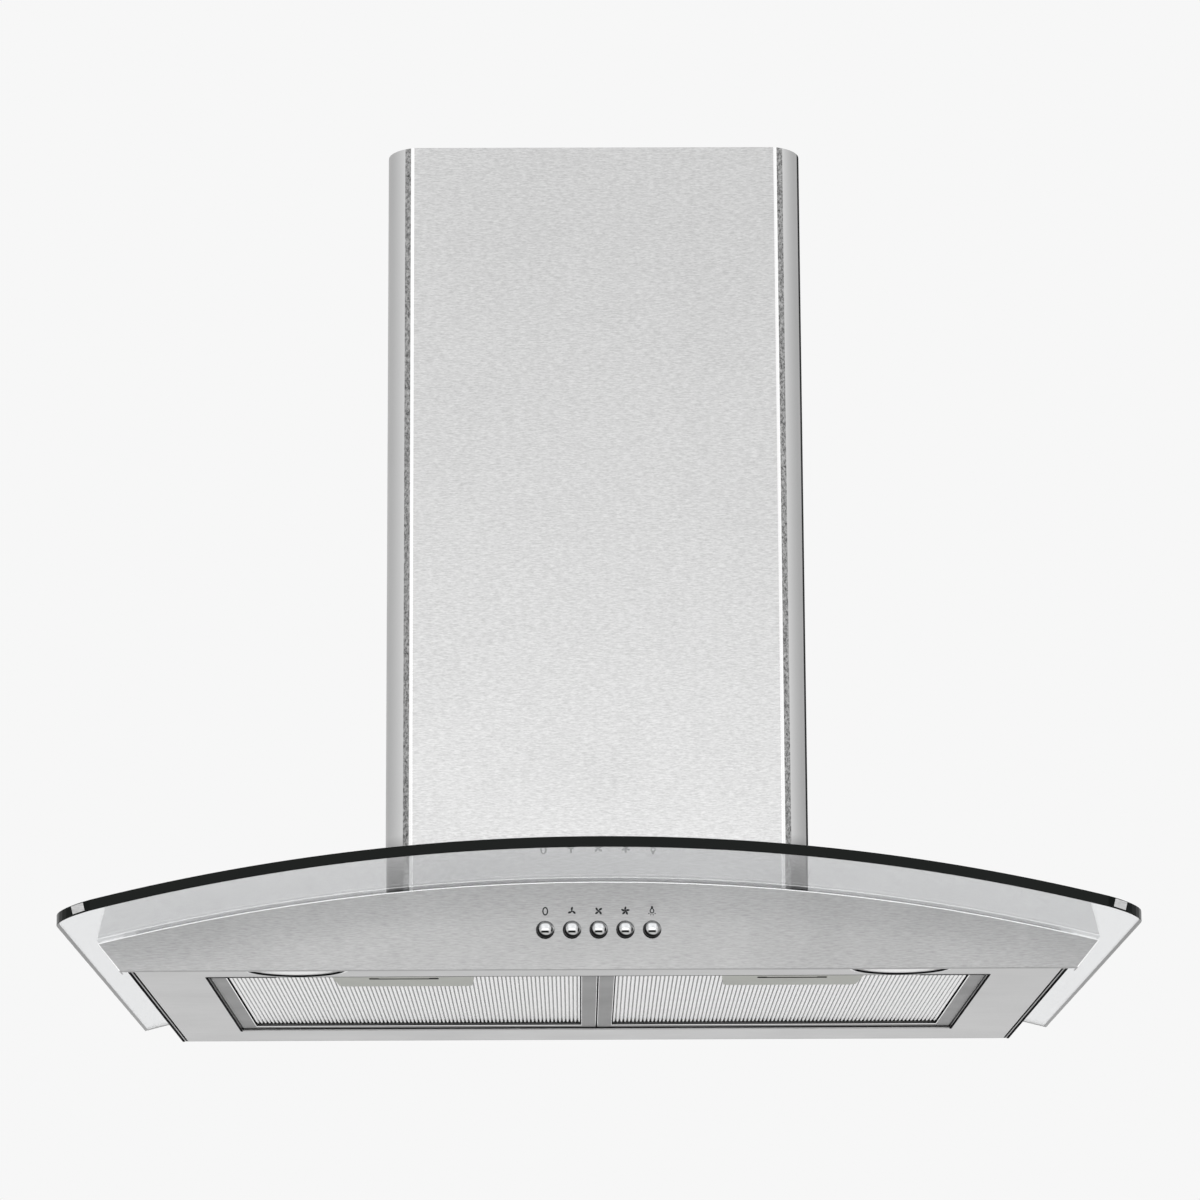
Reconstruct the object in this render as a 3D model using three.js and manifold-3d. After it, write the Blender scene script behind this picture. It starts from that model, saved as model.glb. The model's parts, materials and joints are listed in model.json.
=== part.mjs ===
// Curved glass wall hood of the 60 cm class, with its chimney, controls, lamps, filters and blower.
// Millimetres. +X is to the right of someone facing the hood, +Y into the kitchen wall, +Z up.
// Pieces are modelled with the wall at y = 0 and the crown of the glass's underside at z = 0. The whole
// hood is then lowered so that its origin is the point of the wall rail that it hangs on.

import * as THREE from "three";
import { mergeVertices } from "three/addons/utils/BufferGeometryUtils.js";
import Module from "manifold-3d";

const wasm = await Module();
wasm.setup();

// ------------------------------------------------------------------------------ driving dimensions

const seat = 0.3; // clearance left between pieces that touch
const sheet = 1; // gauge of the canopy's and the blower box's steel
const facets = {
  hexagon: 6,
  hole: 10,
  knob: 12,
  cap: 20,
  round: 20,
  lamp: 36,
  quarter: 6, // from a button's nose to its skirt
  corner: 6,
  fillet: 3,
};

const glass = {
  width: 600,
  depth: 500, // wall to the middle of the bowed front edge
  thickness: 6,
  archRadius: 1200, // of the underside
  frontBow: 10,
  cornerRadius: 25,
  wallGap: 1,
  notchClearance: 2.5, // round the blower box, which passes through the rear notch
  archFacets: 12, // on each half of the arch
  frontFacets: 24,
};

const gasket = { thickness: 2.4, width: 12, inset: 8 };

const body = {
  width: 547,
  depth: 386.5,
  height: 45, // crown of the glass to the underside
  seam: 1.3, // shadow gap between the side wall and the underside panel
  ductLedge: 4, // deck left under the blower box's walls
  rearLedge: 12,
  windowMargin: 3, // round the buttons' collars in the front wall
};

const opening = {
  depth: 256,
  sideMargin: 42.5, // to the body's sides
  lampGap: 9, // behind the lamps' rims
  flange: 5,
};

const panel = {
  lip: 7, // below the underside
  topGap: 1,
  endOverhang: 0.5,
  endSlope: 0.81,
  topReturn: 8,
  endReturn: 12,
  hem: 3,
};

const button = {
  radius: 4.75,
  nose: 5.2, // stands out of the panel
  pitch: 15.3,
  drop: 29, // below the crown of the glass
  travel: 3.5,
  stemRadius: 2.6,
  collarRadius: 6.2,
  collar: 1,
  bore: 0.3, // running clearance in the panel and the bracket
};
const buttonNames = ["button_off", "button_speed_1", "button_speed_2", "button_speed_3", "button_light"];

const switches = {
  width: 80,
  height: 16,
  depth: 18,
  socket: 5, // a stem's reach into the bank
  terminal: 7,
  terminalWidth: 4.8,
  terminalGauge: 0.8,
};

const bracket = {
  gauge: 1,
  standOff: 7,
  margin: 7, // past each end of the switch bank
  overhang: 1, // above and below it
  foot: 8,
  windowInset: 2, // from the bracket's sides to the window in the body's wall
};

const lamp = {
  sideMargin: 97.5, // from the body's side to the lamp's middle
  wallMargin: 2.5, // from the body's front wall to the rim
  radius: 32,
  rim: 2.4,
  flangeDrop: 0.9,
  barrel: 8,
  dome: 1.2,
  domeFacets: 3,
  lens: 1.6,
  backBevel: 2,
  back: 3,
  plugRadius: 13.6,
  plug: 2,
};

const filter = {
  clearance: 0.8, // all round, in the opening
  thickness: 6,
  recess: 1.6, // above the underside
  foil: 0.8,
  strip: 9.5,
  ribs: 60,
  ribHeight: 3.4,
  ribFoil: 0.5,
  tabWidth: 16,
  tabReach: 8.5,
  tabSpacing: 140,
};

const latch = {
  width: 84.6,
  taper: 2.5,
  length: 44,
  corner: 4,
  face: 0.9,
  slider: 30,
  sliderLength: 35,
  wing: 3,
  travel: 6,
  tongue: 4.4, // past the filter's front, over the underside panel
  gripWidth: 34.4,
  gripInset: 6,
  gripLength: 7.5,
  gripDepth: 0.5,
};

const blowerBox = { width: 216, depth: 237, wallGap: 3, top: 300, flange: 14, pad: 1 };

const clamp = {
  screwRadius: 2.4,
  holeSlack: 0.35,
  glassHole: 4,
  headRadius: 4.5,
  headTopRadius: 2.7,
  head: 3,
  rearMargin: 50,
  frontMargin: 35,
  bar: 3, // threaded bar under the deck
  barWidth: 12,
  barOverhang: 14,
  tip: 3, // screw's end below the bar
};

const rail = {
  width: 140,
  height: 240, // of its screws above the glass's crown
  plate: 32,
  gauge: 2,
  gap: 5, // between the plate and the hook
  hook: 10,
  play: 2, // beside the rail, in the blower box's rear wall
  holeRadius: 3,
  holeSpacing: 100,
};

const wheelAxis = { y: -138, z: 118 };
const wheel = {
  radius: 74,
  innerRadius: 61,
  width: 90,
  blades: 24,
  blade: 1,
  bladeInset: 1, // inside the rings' edges
  bladeSweep: 0.16, // radians, forward from the inner to the outer edge
  ring: 2,
  disc: 1.6,
  discInset: 0.5,
  hubRadius: 10,
  hub: 14,
};
const shaft = { radius: 4, length: 40, nutEnd: 6 };
const nut = { radius: 8, thickness: 5 };
const scroll = {
  clearance: 9, // round the wheel where the spiral starts
  endRadius: 108,
  wall: 2,
  sideGap: 5,
  tongueAngle: 100, // degrees
  top: 230,
  inletRadius: 64,
  facets: 26,
};
const motor = {
  radius: 42,
  length: 47,
  discGap: 4,
  bellRadius: 33.6,
  bossRadius: 15,
  boss: 3,
  shoulder: 9,
  rearBevel: 6,
};
const spider = { gauge: 2, arms: 3, armWidth: 10, innerRadius: 18, screwRadius: 2, headRadius: 4, head: 2 };
const inlet = { gauge: 1.5, flange: 9, throat: 4 };
const duct = { cornerRadius: 4, cornerFacets: 5 };

const collar = {
  radius: 74.5,
  wall: 2,
  height: 45,
  leadIn: 3,
  leadDepth: 0.8,
  base: 13,
  baseGauge: 2,
  rimHeight: 18, // of the shelf that the flaps lie on
  rim: 3.5,
  rimGauge: 1.5,
  setback: 105, // from the wall
};
const flap = {
  thickness: 1.2,
  clearance: 2,
  rodRadius: 1.5,
  knuckle: 3.2,
  knuckleLength: 18,
  bore: 0.4,
  slack: 0.4,
};

const capacitor = { radius: 13, length: 70, bevel: 1, band: 1, bandWidth: 12, y: -218, z: 24 };
const junction = { width: 100, depth: 42, height: 34, wall: 2 };
const gland = { radius: 8, threadRadius: 6, bore: 4, noseRadius: 6.4, nose: 6.4, reach: 16, tail: 2 };

const chimney = {
  width: 258,
  depth: 266,
  height: 477, // above the glass
  gauge: 0.8,
  cornerRadius: 23,
  cornerStart: 25, // degrees: where the round corner takes over from the bevel
  bevel: 3.6,
  bevelSlope: 20, // degrees
  wallGap: 0.5,
  slide: 1, // between the lower and the upper cover
  upperLength: 400,
  upperSet: 3, // the upper cover's top below the lower one's
};
const clip = { gauge: 1.2, length: 40, leg: 40 };
const ceilingBracket = { gauge: 2, height: 30, ear: 40, setDown: 10, holeRadius: 3, holeSpacing: 160 };

// ------------------------------------------------------------------------------- derived dimensions

const beyond = glass.width + glass.depth; // outside the hood on every side
const bodyHalf = body.width / 2;
const deckTop = -(gasket.thickness + 2 * seat);
const deckUnderside = deckTop - sheet;
const underside = -body.height;
const panelBack = -(body.depth + seat);
const panelFront = panelBack - sheet;
const lampX = bodyHalf - lamp.sideMargin;
const lampY = -(body.depth - sheet - lamp.wallMargin - lamp.radius);
const openingHalf = bodyHalf - opening.sideMargin;
const openingFront = lampY + lamp.radius + opening.lampGap;
const openingRear = openingFront + opening.depth;
const bracketHalf = switches.width / 2 + bracket.margin;
const boxHalf = blowerBox.width / 2;
const boxFront = -(blowerBox.wallGap + blowerBox.depth);
const boxRear = -blowerBox.wallGap;
const padLow = glass.thickness + seat;
const flangeLow = padLow + blowerBox.pad + seat;
const flangeHigh = flangeLow + sheet;
const notchHalf = boxHalf + glass.notchClearance;
const notchFront = boxFront - glass.notchClearance;
const filterWidth = openingHalf - 1.5 * filter.clearance;
const filterCentre = (filterWidth + filter.clearance) / 2;
const filterFront = openingFront + filter.clearance;
const filterRear = openingRear - filter.clearance;
const filterLow = underside + filter.recess;
const filterHigh = filterLow + filter.thickness;
const panelTop = underside + sheet; // upper face of the underside panel
const clampSpots = [-1, 1].flatMap((side) =>
  [clamp.rearMargin, blowerBox.depth - clamp.frontMargin].map((y) => [
    side * (boxHalf + blowerBox.flange / 2),
    boxRear - y,
  ]),
);

// -------------------------------------------------------------------------------------- materials

const finish = (color, roughness, metalness, extra = {}) =>
  new THREE.MeshStandardMaterial({ color, roughness, metalness, ...extra });

const materials = {
  glass: finish(0xdfe8e3, 0.05, 0, { transparent: true, opacity: 0.35 }),
  brushedSteel: finish(0xc6c7c8, 0.34, 1),
  galvanised: finish(0xa9adb0, 0.5, 1),
  chrome: finish(0xe8e8ea, 0.08, 1),
  aluminium: finish(0x9a9ea0, 0.42, 1),
  mesh: finish(0xd8d9da, 0.3, 1),
  latchPlastic: finish(0xc3c4ba, 0.5, 0),
  blackPlastic: finish(0x222325, 0.55, 0),
  greyPlastic: finish(0x8d9093, 0.55, 0),
  whitePlastic: finish(0xe9e9e4, 0.5, 0),
  rubber: finish(0x18191a, 0.85, 0),
  lens: finish(0xf4f6f6, 0.2, 0, { transparent: true, opacity: 0.7 }),
  shaftSteel: finish(0xb7babd, 0.25, 1),
};

// ---------------------------------------------------------------------------------- solid helpers

// A closed geometry as a solid that can be joined and cut.
function solidOf(geometry) {
  const bare = new THREE.BufferGeometry();
  bare.setAttribute("position", geometry.getAttribute("position").clone());
  if (geometry.index) bare.setIndex(geometry.index.clone());
  const welded = mergeVertices(bare, 1e-4);
  return new wasm.Manifold(
    new wasm.Mesh({
      numProp: 3,
      vertProperties: welded.getAttribute("position").array,
      triVerts: new Uint32Array(welded.index.array),
    }),
  );
}

function geometryOf(solid) {
  const { vertProperties, triVerts } = solid.getMesh();
  const geometry = new THREE.BufferGeometry();
  geometry.setAttribute("position", new THREE.BufferAttribute(new Float32Array(vertProperties), 3));
  geometry.setIndex(new THREE.BufferAttribute(new Uint32Array(triVerts), 1));
  geometry.computeVertexNormals();
  return geometry;
}

function piece(name, solid, material) {
  const mesh = new THREE.Mesh(geometryOf(solid), material);
  mesh.name = name;
  return mesh;
}

const join = (solids) => solids.reduce((whole, solid) => whole.add(solid));
const cut = (solid, tools) => tools.reduce((rest, tool) => rest.subtract(tool), solid);
const count = (n) => Array.from({ length: n }, (_, i) => i);
const mirrorX = (points) => points.map(([x, y]) => [-x, y]);
const quarterTurn = (steps) => count(steps + 1).map((i) => (i / steps) * (Math.PI / 2));

const polygon = (points) => new THREE.Shape(points.map(([x, y]) => new THREE.Vector2(x, y)));

function rectangle(x0, x1, y0, y1) {
  return polygon([
    [x0, y0],
    [x1, y0],
    [x1, y1],
    [x0, y1],
  ]);
}

function disc(x, y, radius) {
  return new THREE.Shape().absarc(x, y, radius, 0, 2 * Math.PI);
}

// Turns a shape drawn in the named plane into a prism from one depth to the other.
const planeMatrix = {
  xy: new THREE.Matrix4(),
  xz: new THREE.Matrix4().makeRotationX(Math.PI / 2),
  yz: new THREE.Matrix4().makeBasis(
    new THREE.Vector3(0, 1, 0),
    new THREE.Vector3(0, 0, 1),
    new THREE.Vector3(1, 0, 0),
  ),
};

function prism(shape, plane, from, to, curveSegments = 8) {
  const geometry = new THREE.ExtrudeGeometry(shape, { depth: to - from, bevelEnabled: false, curveSegments });
  // In the xz plane the extrusion runs towards -Y, so it starts at the far end.
  geometry.translate(0, 0, plane === "xz" ? -to : from);
  return solidOf(geometry.applyMatrix4(planeMatrix[plane]));
}

function box(x0, x1, y0, y1, z0, z1) {
  const geometry = new THREE.BoxGeometry(x1 - x0, y1 - y0, z1 - z0);
  return solidOf(geometry.translate((x0 + x1) / 2, (y0 + y1) / 2, (z0 + z1) / 2));
}

// A solid revolved about X, Y or Z. Its profile lists [radius, height along the axis], up the outside.
const latheMatrix = {
  x: new THREE.Matrix4().makeRotationZ(-Math.PI / 2),
  y: new THREE.Matrix4(),
  z: new THREE.Matrix4().makeRotationX(Math.PI / 2),
};

function turned(profile, axis, segments) {
  const points = profile.map(([radius, height]) => new THREE.Vector2(radius, height));
  return solidOf(new THREE.LatheGeometry(points, segments).applyMatrix4(latheMatrix[axis]));
}

const ring = (inner, outer, low, high) => [
  [outer, low],
  [outer, high],
  [inner, high],
  [inner, low],
  [outer, low],
];

const rod = (radius, low, high) => [
  [0, low],
  [radius, low],
  [radius, high],
  [0, high],
];

// ------------------------------------------------------------------------------------- the arch

// Every arched surface is concentric with the glass and shares its facets, so nested pieces keep even gaps.
const archStep = Math.asin(glass.width / 2 / glass.archRadius) / glass.archFacets;

function archLine(offset) {
  const radius = glass.archRadius + offset;
  return count(2 * glass.archFacets + 3).map((i) => {
    const angle = (i - glass.archFacets - 1) * archStep;
    return [radius * Math.sin(angle), radius * Math.cos(angle) - glass.archRadius];
  });
}

const archHeight = (x, offset) =>
  Math.sqrt((glass.archRadius + offset) ** 2 - x * x) - glass.archRadius;

function archBand(low, high) {
  return prism(polygon([...archLine(low), ...archLine(high).reverse()]), "xz", -beyond, beyond);
}

function belowArch(high) {
  const line = archLine(high);
  const [left, right] = [line[0][0], line[line.length - 1][0]];
  return prism(polygon([[left, -beyond], [right, -beyond], ...line.reverse()]), "xz", -beyond, beyond);
}

// A sheet of the given plan that follows the arch between two offsets from the glass's underside.
function archedSheet(plan, low, high) {
  return prism(plan, "xy", -beyond, beyond).intersect(archBand(low, high));
}

const verticalHoles = (spots, radius, low, high) =>
  spots.map(([x, y]) => turned(rod(radius, low, high), "z", facets.hole).translate([x, y, 0]));

// ------------------------------------------------------------------------------------- the canopy

function glassFront(x) {
  const bowRadius = ((glass.width / 2) ** 2 + glass.frontBow ** 2) / (2 * glass.frontBow);
  return bowRadius - glass.depth - Math.sqrt(bowRadius ** 2 - x ** 2);
}

function glassPlan() {
  const half = glass.width / 2;
  const rear = -glass.wallGap;
  const cornerX = half - glass.cornerRadius;
  const cornerY = glassFront(cornerX) + glass.cornerRadius;
  const corner = (side) =>
    quarterTurn(facets.corner).map((angle) => [
      side * (cornerX + glass.cornerRadius * Math.cos(angle)),
      cornerY - glass.cornerRadius * Math.sin(angle),
    ]);
  const front = count(glass.frontFacets - 1).map((i) => {
    const x = cornerX * (1 - (2 * (i + 1)) / glass.frontFacets);
    return [x, glassFront(x)];
  });
  const outline = [[half, rear], ...corner(1), ...front, ...corner(-1).reverse(), [-half, rear]];
  const notch = [
    [-notchHalf, rear],
    [-notchHalf, notchFront],
    [notchHalf, notchFront],
    [notchHalf, rear],
  ];
  return polygon([...outline, ...notch]);
}

function makeGlass() {
  const pane = archedSheet(glassPlan(), 0, glass.thickness);
  return cut(pane, verticalHoles(clampSpots, clamp.glassHole, -body.height, body.height));
}

// Foam strip along the deck's edge and round the notch, which keeps glass and steel apart.
function makeGasket() {
  const x = bodyHalf - gasket.inset;
  const front = -(body.depth - gasket.inset);
  const rear = -gasket.inset;
  const border = cut(archedSheet(rectangle(-x, x, front, rear), deckTop + seat, -seat), [
    box(-x + gasket.width, x - gasket.width, front + gasket.width, rear - gasket.width, -beyond, beyond),
  ]);
  const padHalf = boxHalf + blowerBox.flange;
  const notchStrip = archedSheet(
    rectangle(-padHalf, padHalf, boxFront - blowerBox.flange, rear),
    deckTop + seat,
    -seat,
  );
  return cut(join([border, notchStrip]), [
    box(-notchHalf, notchHalf, notchFront, beyond, -beyond, beyond),
    ...verticalHoles(clampSpots, clamp.glassHole, -body.height, body.height),
  ]);
}

// Folded steel body: an arched deck under the glass, and walls down to the underside.
function makeBody() {
  const outer = prism(rectangle(-bodyHalf, bodyHalf, -body.depth, 0), "xy", underside, body.height);
  const inner = prism(
    rectangle(-bodyHalf + sheet, bodyHalf - sheet, -body.depth + sheet, -sheet),
    "xy",
    underside - sheet,
    body.height,
  );
  const hollow = inner.intersect(belowArch(deckUnderside));
  const passage = boxHalf - body.ductLedge;
  const windowHalf = bracketHalf - bracket.windowInset;
  const windowHeight = button.collarRadius + body.windowMargin;
  return cut(outer.intersect(belowArch(deckTop)), [
    hollow,
    box(-passage, passage, boxFront + body.ductLedge, -body.rearLedge, underside, body.height),
    box(
      -windowHalf,
      windowHalf,
      -body.depth - sheet,
      -body.depth + 2 * sheet,
      -button.drop - windowHeight,
      -button.drop + windowHeight,
    ),
    ...verticalHoles(clampSpots, clamp.screwRadius + clamp.holeSlack, underside, body.height),
  ]);
}

function makeUndersidePanel() {
  const half = bodyHalf - sheet - body.seam;
  const front = -(body.depth - sheet - seat);
  const rear = -(sheet + seat);
  const plate = box(-half, half, front, rear, underside, panelTop);
  const returnTop = panelTop + opening.flange;
  const returns = [
    box(half - sheet, half, front, rear, underside, returnTop),
    box(openingHalf, openingHalf + sheet, openingFront, openingRear, underside, returnTop),
  ].flatMap((side) => [side, side.mirror([1, 0, 0])]);
  const lampHole = lamp.radius - lamp.rim - sheet + seat;
  return cut(join([plate, ...returns]), [
    box(-openingHalf, openingHalf, openingFront, openingRear, underside - sheet, 0),
    ...[-lampX, lampX].map((x) =>
      turned(rod(lampHole, underside - sheet, 0), "z", facets.lamp).translate([x, lampY, 0]),
    ),
  ]);
}

// The fascia: one steel plate with an arched top, oblique ends and folded returns.
function panelEnds(inset) {
  const low = underside - panel.lip - sheet;
  const high = body.height;
  const halfAt = (z) => bodyHalf + panel.endOverhang + (z - underside + panel.lip) * panel.endSlope - inset;
  return polygon([
    [-halfAt(low), low],
    [halfAt(low), low],
    [halfAt(high), high],
    [-halfAt(high), high],
  ]);
}

function makeFrontPanel() {
  const bottom = underside - panel.lip;
  const rearmost = panelBack + Math.max(panel.topReturn, panel.endReturn);
  const reach = glass.width;
  const silhouette = prism(panelEnds(0), "xz", panelFront, rearmost)
    .intersect(belowArch(-panel.topGap))
    .intersect(box(-reach, reach, -beyond, beyond, bottom, body.height));
  const face = silhouette.intersect(box(-reach, reach, panelFront, panelBack, bottom, body.height));
  const topReturn = silhouette
    .intersect(archBand(-panel.topGap - sheet, -panel.topGap))
    .intersect(box(-reach, reach, panelFront, panelBack + panel.topReturn, bottom, body.height));
  const endReturns = silhouette
    .subtract(prism(panelEnds(sheet), "xz", -beyond, beyond))
    .intersect(box(-reach, reach, panelFront, panelBack + panel.endReturn, bottom, body.height));
  const hem = silhouette.intersect(
    box(-reach, reach, panelFront, panelBack + panel.hem, bottom, bottom + sheet),
  );
  const bore = rod(button.radius + button.bore, panelFront - sheet, panelBack + sheet);
  const hole = turned(bore, "y", facets.cap);
  const holes = buttonNames.map((_, i) => hole.translate([buttonX(i), 0, -button.drop]));
  return cut(join([face, topReturn, endReturns, hem]), holes);
}

function makeCanopy() {
  const group = new THREE.Group();
  group.add(
    piece("glass_canopy", makeGlass(), materials.glass),
    piece("glass_gasket", makeGasket(), materials.rubber),
    piece("canopy_body", makeBody(), materials.brushedSteel),
    piece("underside_panel", makeUndersidePanel(), materials.brushedSteel),
    piece("front_panel", makeFrontPanel(), materials.brushedSteel),
  );
  return group;
}

// ----------------------------------------------------------------------------------- the controls

function buttonX(index) {
  return (index - (buttonNames.length - 1) / 2) * button.pitch;
}

const bracketFeet = -(body.depth - sheet) + seat;
const bracketPlate = bracketFeet + bracket.standOff;
const bankFront = bracketPlate + bracket.gauge + seat;
const stemEnd = bankFront + switches.socket;
const socketEnd = stemEnd + button.travel + seat;

// A half-ball cap on a collared stem. Its collar keeps it behind the panel.
function makeButton() {
  const capCentre = panelFront - button.nose + button.radius;
  const cap = quarterTurn(facets.quarter).map((angle) => [
    button.radius * Math.sin(angle),
    capCentre - button.radius * Math.cos(angle),
  ]);
  const collarFront = panelBack + seat;
  return turned(
    [
      ...cap,
      [button.radius, collarFront],
      [button.collarRadius, collarFront],
      [button.collarRadius, collarFront + button.collar],
      [button.stemRadius, collarFront + button.collar],
      [button.stemRadius, stemEnd],
      [0, stemEnd],
    ],
    "y",
    facets.cap,
  );
}

// The holes that the five stems pass through.
function stemHoles(front, rear) {
  const hole = turned(rod(button.stemRadius + button.bore, front, rear), "y", facets.hole);
  return buttonNames.map((_, i) => hole.translate([buttonX(i), 0, 0]));
}

function makeSwitchBracket() {
  const { gauge, foot, overhang } = bracket;
  const height = switches.height / 2 + overhang;
  const half = bracketHalf;
  const plate = box(-half, half, bracketPlate, bracketPlate + gauge, -height, height);
  const side = box(half - gauge, half, bracketFeet, bracketPlate + gauge, -height, height);
  const flange = box(half - gauge, half + foot, bracketFeet, bracketFeet + gauge, -height, height);
  const end = side.add(flange);
  const strap = join([plate, end, end.mirror([1, 0, 0])]);
  return cut(strap, stemHoles(bracketPlate - gauge, bracketPlate + 2 * gauge));
}

// The interlocked switch bank: five sockets in front and two terminal blades behind each.
function makeSwitchBank() {
  const half = switches.width / 2;
  const height = switches.height / 2;
  const rear = bankFront + switches.depth;
  const [wide, thin] = [switches.terminalWidth / 2, switches.terminalGauge / 2];
  const terminal = box(-wide, wide, rear - sheet, rear + switches.terminal, -thin, thin);
  const terminals = buttonNames.flatMap((_, i) =>
    [-1, 1].map((side) => terminal.translate([buttonX(i), 0, (side * height) / 2])),
  );
  return cut(
    join([box(-half, half, bankFront, rear, -height, height), ...terminals]),
    stemHoles(bankFront - sheet, socketEnd),
  );
}

function makeControls() {
  const group = new THREE.Group();
  group.position.z = -button.drop;
  group.add(
    piece("switch_bracket", makeSwitchBracket(), materials.galvanised),
    piece("switch_bank", makeSwitchBank(), materials.blackPlastic),
  );
  buttonNames.forEach((name, i) => {
    const knob = piece(name, makeButton(), materials.chrome);
    knob.position.x = buttonX(i);
    group.add(knob);
  });
  return group;
}

// -------------------------------------------------------------------------------------- the lamps

// One downlight, modelled about its own axis with the underside panel's lower face at z = 0.
function makeLamp(side) {
  const barrelOuter = lamp.radius - lamp.rim - sheet;
  const barrelInner = barrelOuter - sheet;
  const flangeLow = -(seat + lamp.flangeDrop);
  const bezel = turned(
    [
      [barrelInner, flangeLow + lamp.flangeDrop / 2],
      [barrelInner + sheet, flangeLow],
      [lamp.radius - sheet / 2, flangeLow],
      [lamp.radius, -seat - lamp.flangeDrop / 2],
      [lamp.radius, -seat],
      [barrelOuter, -seat],
      [barrelOuter, lamp.barrel],
      [barrelInner, lamp.barrel],
      [barrelInner, flangeLow + lamp.flangeDrop / 2],
    ],
    "z",
    facets.lamp,
  );
  const lensRadius = barrelInner - seat;
  const lensEdge = flangeLow + lamp.flangeDrop / 2;
  const domed = (lift) =>
    count(lamp.domeFacets + 1).map((i) => {
      const share = i / lamp.domeFacets;
      return [lensRadius * share, lensEdge + lift - lamp.dome * (1 - share ** 2)];
    });
  const lens = turned([...domed(0), ...domed(lamp.lens).reverse()], "z", facets.lamp);
  const moduleLow = lensEdge + lamp.lens + seat;
  const moduleHigh = lamp.barrel + lamp.back;
  const module = turned(
    [
      [0, moduleLow],
      [lensRadius, moduleLow],
      [lensRadius, lamp.barrel],
      [lensRadius - lamp.backBevel, moduleHigh],
      [lamp.plugRadius, moduleHigh],
      [lamp.plugRadius, moduleHigh + lamp.plug],
      [0, moduleHigh + lamp.plug],
    ],
    "z",
    facets.lamp,
  );
  const name = side < 0 ? "left" : "right";
  const group = new THREE.Group();
  group.position.set(side * lampX, lampY, underside);
  group.add(
    piece("lamp_bezel_" + name, bezel, materials.chrome),
    piece("lamp_lens_" + name, lens, materials.lens),
    piece("lamp_module_" + name, module, materials.whitePlastic),
  );
  return group;
}

// ------------------------------------------------------------------------------------ the filters

// Frames, ribbed foil and latches are modelled about the filter's own centre line.
const stripInner = filterWidth / 2 - filter.strip;
const latchFront = filterFront + seat;

function makeFilterFrame() {
  const half = filterWidth / 2;
  const { foil, strip } = filter;
  const shell = box(-half, half, filterFront, filterRear, filterLow, filterHigh);
  const window = box(
    -half + strip,
    half - strip,
    filterFront + strip,
    filterRear - strip,
    filterLow - sheet,
    filterHigh + sheet,
  );
  const channel = box(
    -half + foil,
    half - foil,
    filterFront + foil,
    filterRear - foil,
    filterLow + foil,
    filterHigh - foil,
  );
  const slot = latch.slider / 2 + 2 * seat;
  const latchSlot = box(
    -slot,
    slot,
    filterFront - sheet,
    filterFront + strip + sheet,
    filterLow - sheet,
    latchSliderTop + seat,
  );
  const tabs = [-1, 1].map((side) => {
    const x = (side * filter.tabSpacing) / 2;
    const w = filter.tabWidth / 2;
    const low = panelTop + 2 * seat;
    return box(x - w, x + w, filterRear - foil, filterRear + filter.tabReach, low, low + foil);
  });
  return join([cut(shell, [window, channel, latchSlot]), ...tabs]);
}

const latchSliderTop = filterLow + filter.foil + seat + sheet;

// Zigzag foil whose ribs run from the wall to the front, cut away round the latch.
function makeFilterMesh() {
  const half = filterWidth / 2 - filter.foil - seat;
  const low = filterLow + filter.foil + seat;
  const wave = (lift) =>
    count(2 * filter.ribs + 1).map((i) => [
      -half + (i * half) / filter.ribs,
      low + lift + (i % 2) * filter.ribHeight,
    ]);
  const foil = prism(
    polygon([...wave(0), ...wave(filter.ribFoil).reverse()]),
    "xz",
    filterFront + filter.foil + seat,
    filterRear - filter.foil - seat,
  );
  const clear = latch.slider / 2 + latch.wing + 3 * seat;
  return foil.subtract(
    box(-clear, clear, filterFront, filterFront + latch.length + latch.travel, filterLow, filterHigh),
  );
}

// Face plate under the frame, slider and wings inside it, and the tongue that holds the filter up.
function makeLatch() {
  const faceHigh = filterLow - seat;
  const faceLow = faceHigh - latch.face;
  const half = latch.width / 2;
  const rear = latchFront + latch.length;
  const corner = quarterTurn(facets.fillet).map((angle) => [
    half - latch.taper - latch.corner * (1 - Math.cos(angle)),
    rear - latch.corner * (1 - Math.sin(angle)),
  ]);
  const plan = [[half, latchFront], ...corner];
  const face = prism(polygon([...plan, ...mirrorX(plan).reverse()]), "xy", faceLow, faceHigh);
  const reach = latch.slider / 2;
  const sliderRear = latchFront + latch.sliderLength;
  const slider = box(-reach, reach, latchFront, sliderRear, faceHigh - latch.face / 2, latchSliderTop);
  const wings = box(
    -reach - latch.wing,
    reach + latch.wing,
    filterFront + filter.foil + 2 * seat,
    filterFront + filter.strip - sheet,
    latchSliderTop - sheet,
    latchSliderTop,
  );
  const tip = filterFront - latch.tongue;
  const tongue = box(-reach, reach, tip, latchFront + sheet, panelTop + seat, latchSliderTop);
  const grip = box(
    -latch.gripWidth / 2,
    latch.gripWidth / 2,
    latchFront + latch.gripInset,
    latchFront + latch.gripInset + latch.gripLength,
    faceLow - sheet,
    faceLow + latch.gripDepth,
  );
  return join([face, slider, wings, tongue]).subtract(grip);
}

function makeFilter(side) {
  const name = side < 0 ? "left" : "right";
  const group = new THREE.Group();
  group.position.x = side * filterCentre;
  group.add(
    piece("filter_frame_" + name, makeFilterFrame(), materials.aluminium),
    piece("filter_mesh_" + name, makeFilterMesh(), materials.mesh),
    piece("filter_latch_" + name, makeLatch(), materials.latchPlastic),
  );
  return group;
}

// ---------------------------------------------------------------------------------- the blower box

const ductCentre = [0, -collar.setback];
const railHook = rail.height + rail.plate / 2 + rail.gauge / 2; // the box's rear wall rests on it

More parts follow.
